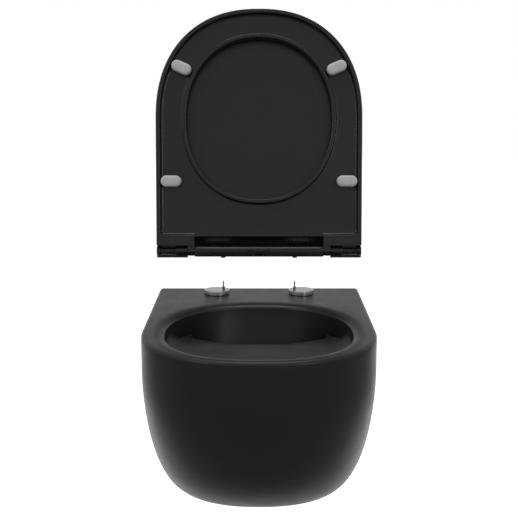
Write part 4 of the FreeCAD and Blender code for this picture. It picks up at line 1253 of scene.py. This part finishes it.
# ---------------------------------------------------------------- carried-over pieces
class TOILET_OT_fittings(bpy.types.Operator):
    """Give every carried-over piece of the frame its finish"""
    bl_idname = "toilet.finish_fittings"
    bl_label = "Fittings"

    def execute(self, context):
        finishes = {
            "wall_bush": moulded("grey_nylon_bush", (0.5, 0.5, 0.48), (0.4, 0.5), 800.0, 40.0),
            "wall_washer": moulded("zinc_washer", (0.62,) * 3, (0.25, 0.4), 300.0, 90.0, 0.1, metal=1.0),
            "expansion_sleeve": moulded("grey_nylon_sleeve", (0.45, 0.45, 0.44), (0.42, 0.52), 800.0, 60.0),
            "disc_gasket": moulded("black_gasket", (0.02, 0.02, 0.02), (0.6, 0.75), 900.0, 80.0),
            "disc_stud": moulded("zinc_stud", (0.6, 0.6, 0.6), (0.25, 0.38), 400.0, 90.0, 0.1, metal=1.0),
            "socket_bush": moulded("black_acetal_socket", (0.013, 0.013, 0.015), (0.32, 0.4), 900.0, 80.0),
            "latch": moulded("spring_steel_latch", (0.5,) * 3, (0.22, 0.32), 500.0, 120.0, 0.1, metal=1.0),
            "damper": moulded("black_damper", (0.025, 0.025, 0.027), (0.35, 0.45), 700.0, 60.0),
            "hinge_spindle": moulded("steel_spindle", (0.58,) * 3, (0.2, 0.3), 500.0, 120.0, 0.08, metal=1.0),
            "spindle_barrel": moulded("dark_barrel", (0.011, 0.011, 0.013), (0.25, 0.33), 900.0, 70.0),
            "seat_hinge_bush": moulded("grey_seat_bush", (0.05, 0.05, 0.052), (0.4, 0.5), 900.0, 90.0),
            "cover_hinge_bush": moulded("grey_cover_bush", (0.05, 0.05, 0.052), (0.4, 0.5), 900.0, 90.0),
            "inlet_seal": moulded("black_inlet_seal", (0.02, 0.02, 0.021), (0.55, 0.7), 600.0, 50.0),
            "flush_nozzle": moulded("black_nozzle", (0.03, 0.03, 0.03), (0.4, 0.5), 700.0, 50.0),
            "hinge_bar_base": moulded("black_bar_base", (0.012, 0.012, 0.014), (0.3, 0.38), 1200.0, 40.0),
        }
        for node, obj in frame["nodes"].items():
            if obj.hide_render:
                continue
            kind = next((key for key in finishes if node.startswith(key)), None)
            if kind is None:
                raise RuntimeError("no finish for " + node)
            coat(obj, finishes[kind])
        for node, replaced in (("pan_ceramic", "matte_black_glaze"), ("seat_ring", "satin_black_seat"),
                               ("cover_shell", "satin_black_cover"), ("hinge_bar_housing", "satin_black_bar"),
                               ("release_button", "satin_black_button")):
            coat(frame["nodes"][node], bpy.data.materials[replaced])
        return {"FINISHED"}


# ---------------------------------------------------------------- studio
LENS = 73.7                  # for a sensor 36 wide
CAMERA_PLACE = (0.0, -1.963, 0.4986)
CAMERA_DIP = 10.4            # degrees below level
FLOOR_HALF = 9
FLOOR_BELOW = 200 * MM       # under the pan
LAMPS = (                    # name, place, turn in degrees, width, depth, power
    ("top light", (0.0, -0.1, 2.4), (0, 0, 0), 1.6, 1.2, 14.0),
    ("side light", (1.5, -2.3, 0.95), (72, 0, 33), 0.3, 0.9, 4.0),
    ("far light", (-1.6, -1.5, 1.3), (55, 0, -47), 0.35, 0.9, 3.5),
)


class TOILET_OT_studio(bpy.types.Operator):
    """Make the pale floor, the soft light and the camera"""
    bl_idname = "toilet.make_studio"
    bl_label = "Studio"

    def execute(self, context):
        scene = context.scene
        scene.view_settings.view_transform = "Standard"
        self.floor(scene)
        self.surround(scene)
        for lamp in LAMPS:
            self.lamp(*lamp)
        camera = bpy.data.cameras.new("camera")
        camera.lens = LENS
        camera.sensor_width = 36.0
        obj = bpy.data.objects.new("camera", camera)
        obj.location = CAMERA_PLACE
        obj.rotation_euler = (math.radians(90 - CAMERA_DIP), 0, 0)
        scene.collection.objects.link(obj)
        scene.camera = obj
        return {"FINISHED"}

    def floor(self, scene):
        """One large floor with painted light: pale and glowing in a fan that opens behind the object, painted
        a darker grey in front of it.
        """
        material, tree, main, place = shader("pale_floor")
        tone = scene.toilet_finishes.floor
        split = tree.nodes.new("ShaderNodeSeparateXYZ")
        tree.links.new(place, split.inputs[0])
        sideways = reckon(tree, "ABSOLUTE", split.outputs["X"])
        spread = reckon(tree, "DIVIDE", sideways, reckon(tree, "ADD", split.outputs["Y"], 2.0))
        behind = ranged(tree, split.outputs["Y"], 0.0, 1.0, -0.35, 0.15)
        # painted light mask: the fan behind the object where the floor is painted pale and glows
        painted_glow = reckon(tree, "MULTIPLY", behind, ranged(tree, spread, 1.0, 0.0, 0.27, 0.5))
        # painted shade: the floor in front of the object is painted a darker grey, with a faint random cloud
        near = blended(tree, noise(tree, place, 3.0), shade(tone, 0.42), shade(tone, 0.44))
        # painted light: the floor is painted paler in the fan behind the object
        tree.links.new(blended(tree, painted_glow, near, tuple(tone)), main.inputs["Base Color"])
        # painted light: the floor glows in that fan behind the object, though it is no lamp
        tree.links.new(blended(tree, painted_glow, (0, 0, 0), (0.75, 0.75, 0.75)), main.inputs["Emission Color"])
        main.inputs["Emission Strength"].default_value = 1.0
        main.inputs["Roughness"].default_value = 0.9
        half, level = FLOOR_HALF, PAN_LOW.z - FLOOR_BELOW
        corners = [(-half, -half, level), (half, -half, level), (half, half, level), (-half, half, level)]
        floor = piece("floor", corners, [(0, 1, 2, 3)])
        coat(floor, material)

    def surround(self, scene):
        """White behind the object; soft grey in front of it, dimmer towards the floor."""
        world = bpy.data.worlds.new("soft surround")
        scene.world = world
        world.use_nodes = True
        tree = world.node_tree
        split = tree.nodes.new("ShaderNodeSeparateXYZ")
        tree.links.new(tree.nodes.new("ShaderNodeTexCoord").outputs["Generated"], split.inputs[0])
        behind = ranged(tree, split.outputs["Y"], 0.0, 1.0, 0.62, 0.965)
        below = ranged(tree, split.outputs["Z"], 1.0, 0.0, 0.08, 0.22)
        both = reckon(tree, "MULTIPLY", behind, below)
        above = ranged(tree, split.outputs["Z"], 0.0, 1.0, -0.8, 0.1)
        front = blended(tree, above, (0.15, 0.145, 0.153), (0.46, 0.445, 0.47))
        tree.links.new(blended(tree, both, front, (1, 1, 1)), tree.nodes["Background"].inputs["Color"])

    def lamp(self, name, place, turn, width, depth, power):
        """A soft rectangular light."""
        light = bpy.data.lights.new(name, "AREA")
        light.shape = "RECTANGLE"
        light.size, light.size_y, light.energy = width, depth, power
        obj = bpy.data.objects.new(name, light)
        obj.location, obj.rotation_euler = place, [math.radians(angle) for angle in turn]
        bpy.context.scene.collection.objects.link(obj)


class TOILET_PT_panel(bpy.types.Panel):
    """Sizes, colours and pieces of the toilet"""
    bl_label = "Toilet"
    bl_idname = "TOILET_PT_panel"
    bl_space_type = "VIEW_3D"
    bl_region_type = "UI"
    bl_category = "Toilet"

    def draw(self, context):
        for group in (context.scene.toilet_pan, context.scene.toilet_seat, context.scene.toilet_bar,
                      context.scene.toilet_finishes):
            box = self.layout.box()
            for name in group.bl_rna.properties.keys():
                if name not in ("rna_type", "name"):
                    box.prop(group, name)
        for operator in OPERATORS:
            self.layout.operator(operator.bl_idname)


GROUPS = {
    "toilet_pan": PanSizes, "toilet_seat": SeatSizes, "toilet_bar": BarSizes, "toilet_finishes": Finishes,
}
OPERATORS = (
    TOILET_OT_studio, TOILET_OT_pan, TOILET_OT_seat, TOILET_OT_cover, TOILET_OT_pads, TOILET_OT_hinge_bar,
    TOILET_OT_fixings, TOILET_OT_fittings,
)


def register():
    for cls in (*GROUPS.values(), *OPERATORS, TOILET_PT_panel):
        bpy.utils.register_class(cls)
    for name, group in GROUPS.items():
        setattr(bpy.types.Scene, name, bpy.props.PointerProperty(type=group))


def unregister():
    for name in GROUPS:
        delattr(bpy.types.Scene, name)
    for cls in (TOILET_PT_panel, *OPERATORS[::-1], *reversed(list(GROUPS.values()))):
        bpy.utils.unregister_class(cls)


def main():
    register()
    bpy.ops.toilet.make_studio()
    bpy.ops.toilet.make_pan()
    bpy.ops.toilet.make_seat()
    bpy.ops.toilet.make_cover()
    bpy.ops.toilet.make_pads()
    bpy.ops.toilet.make_hinge_bar()
    bpy.ops.toilet.make_fixings()
    bpy.ops.toilet.finish_fittings()
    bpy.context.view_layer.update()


if __name__ == "__main__":
    main()
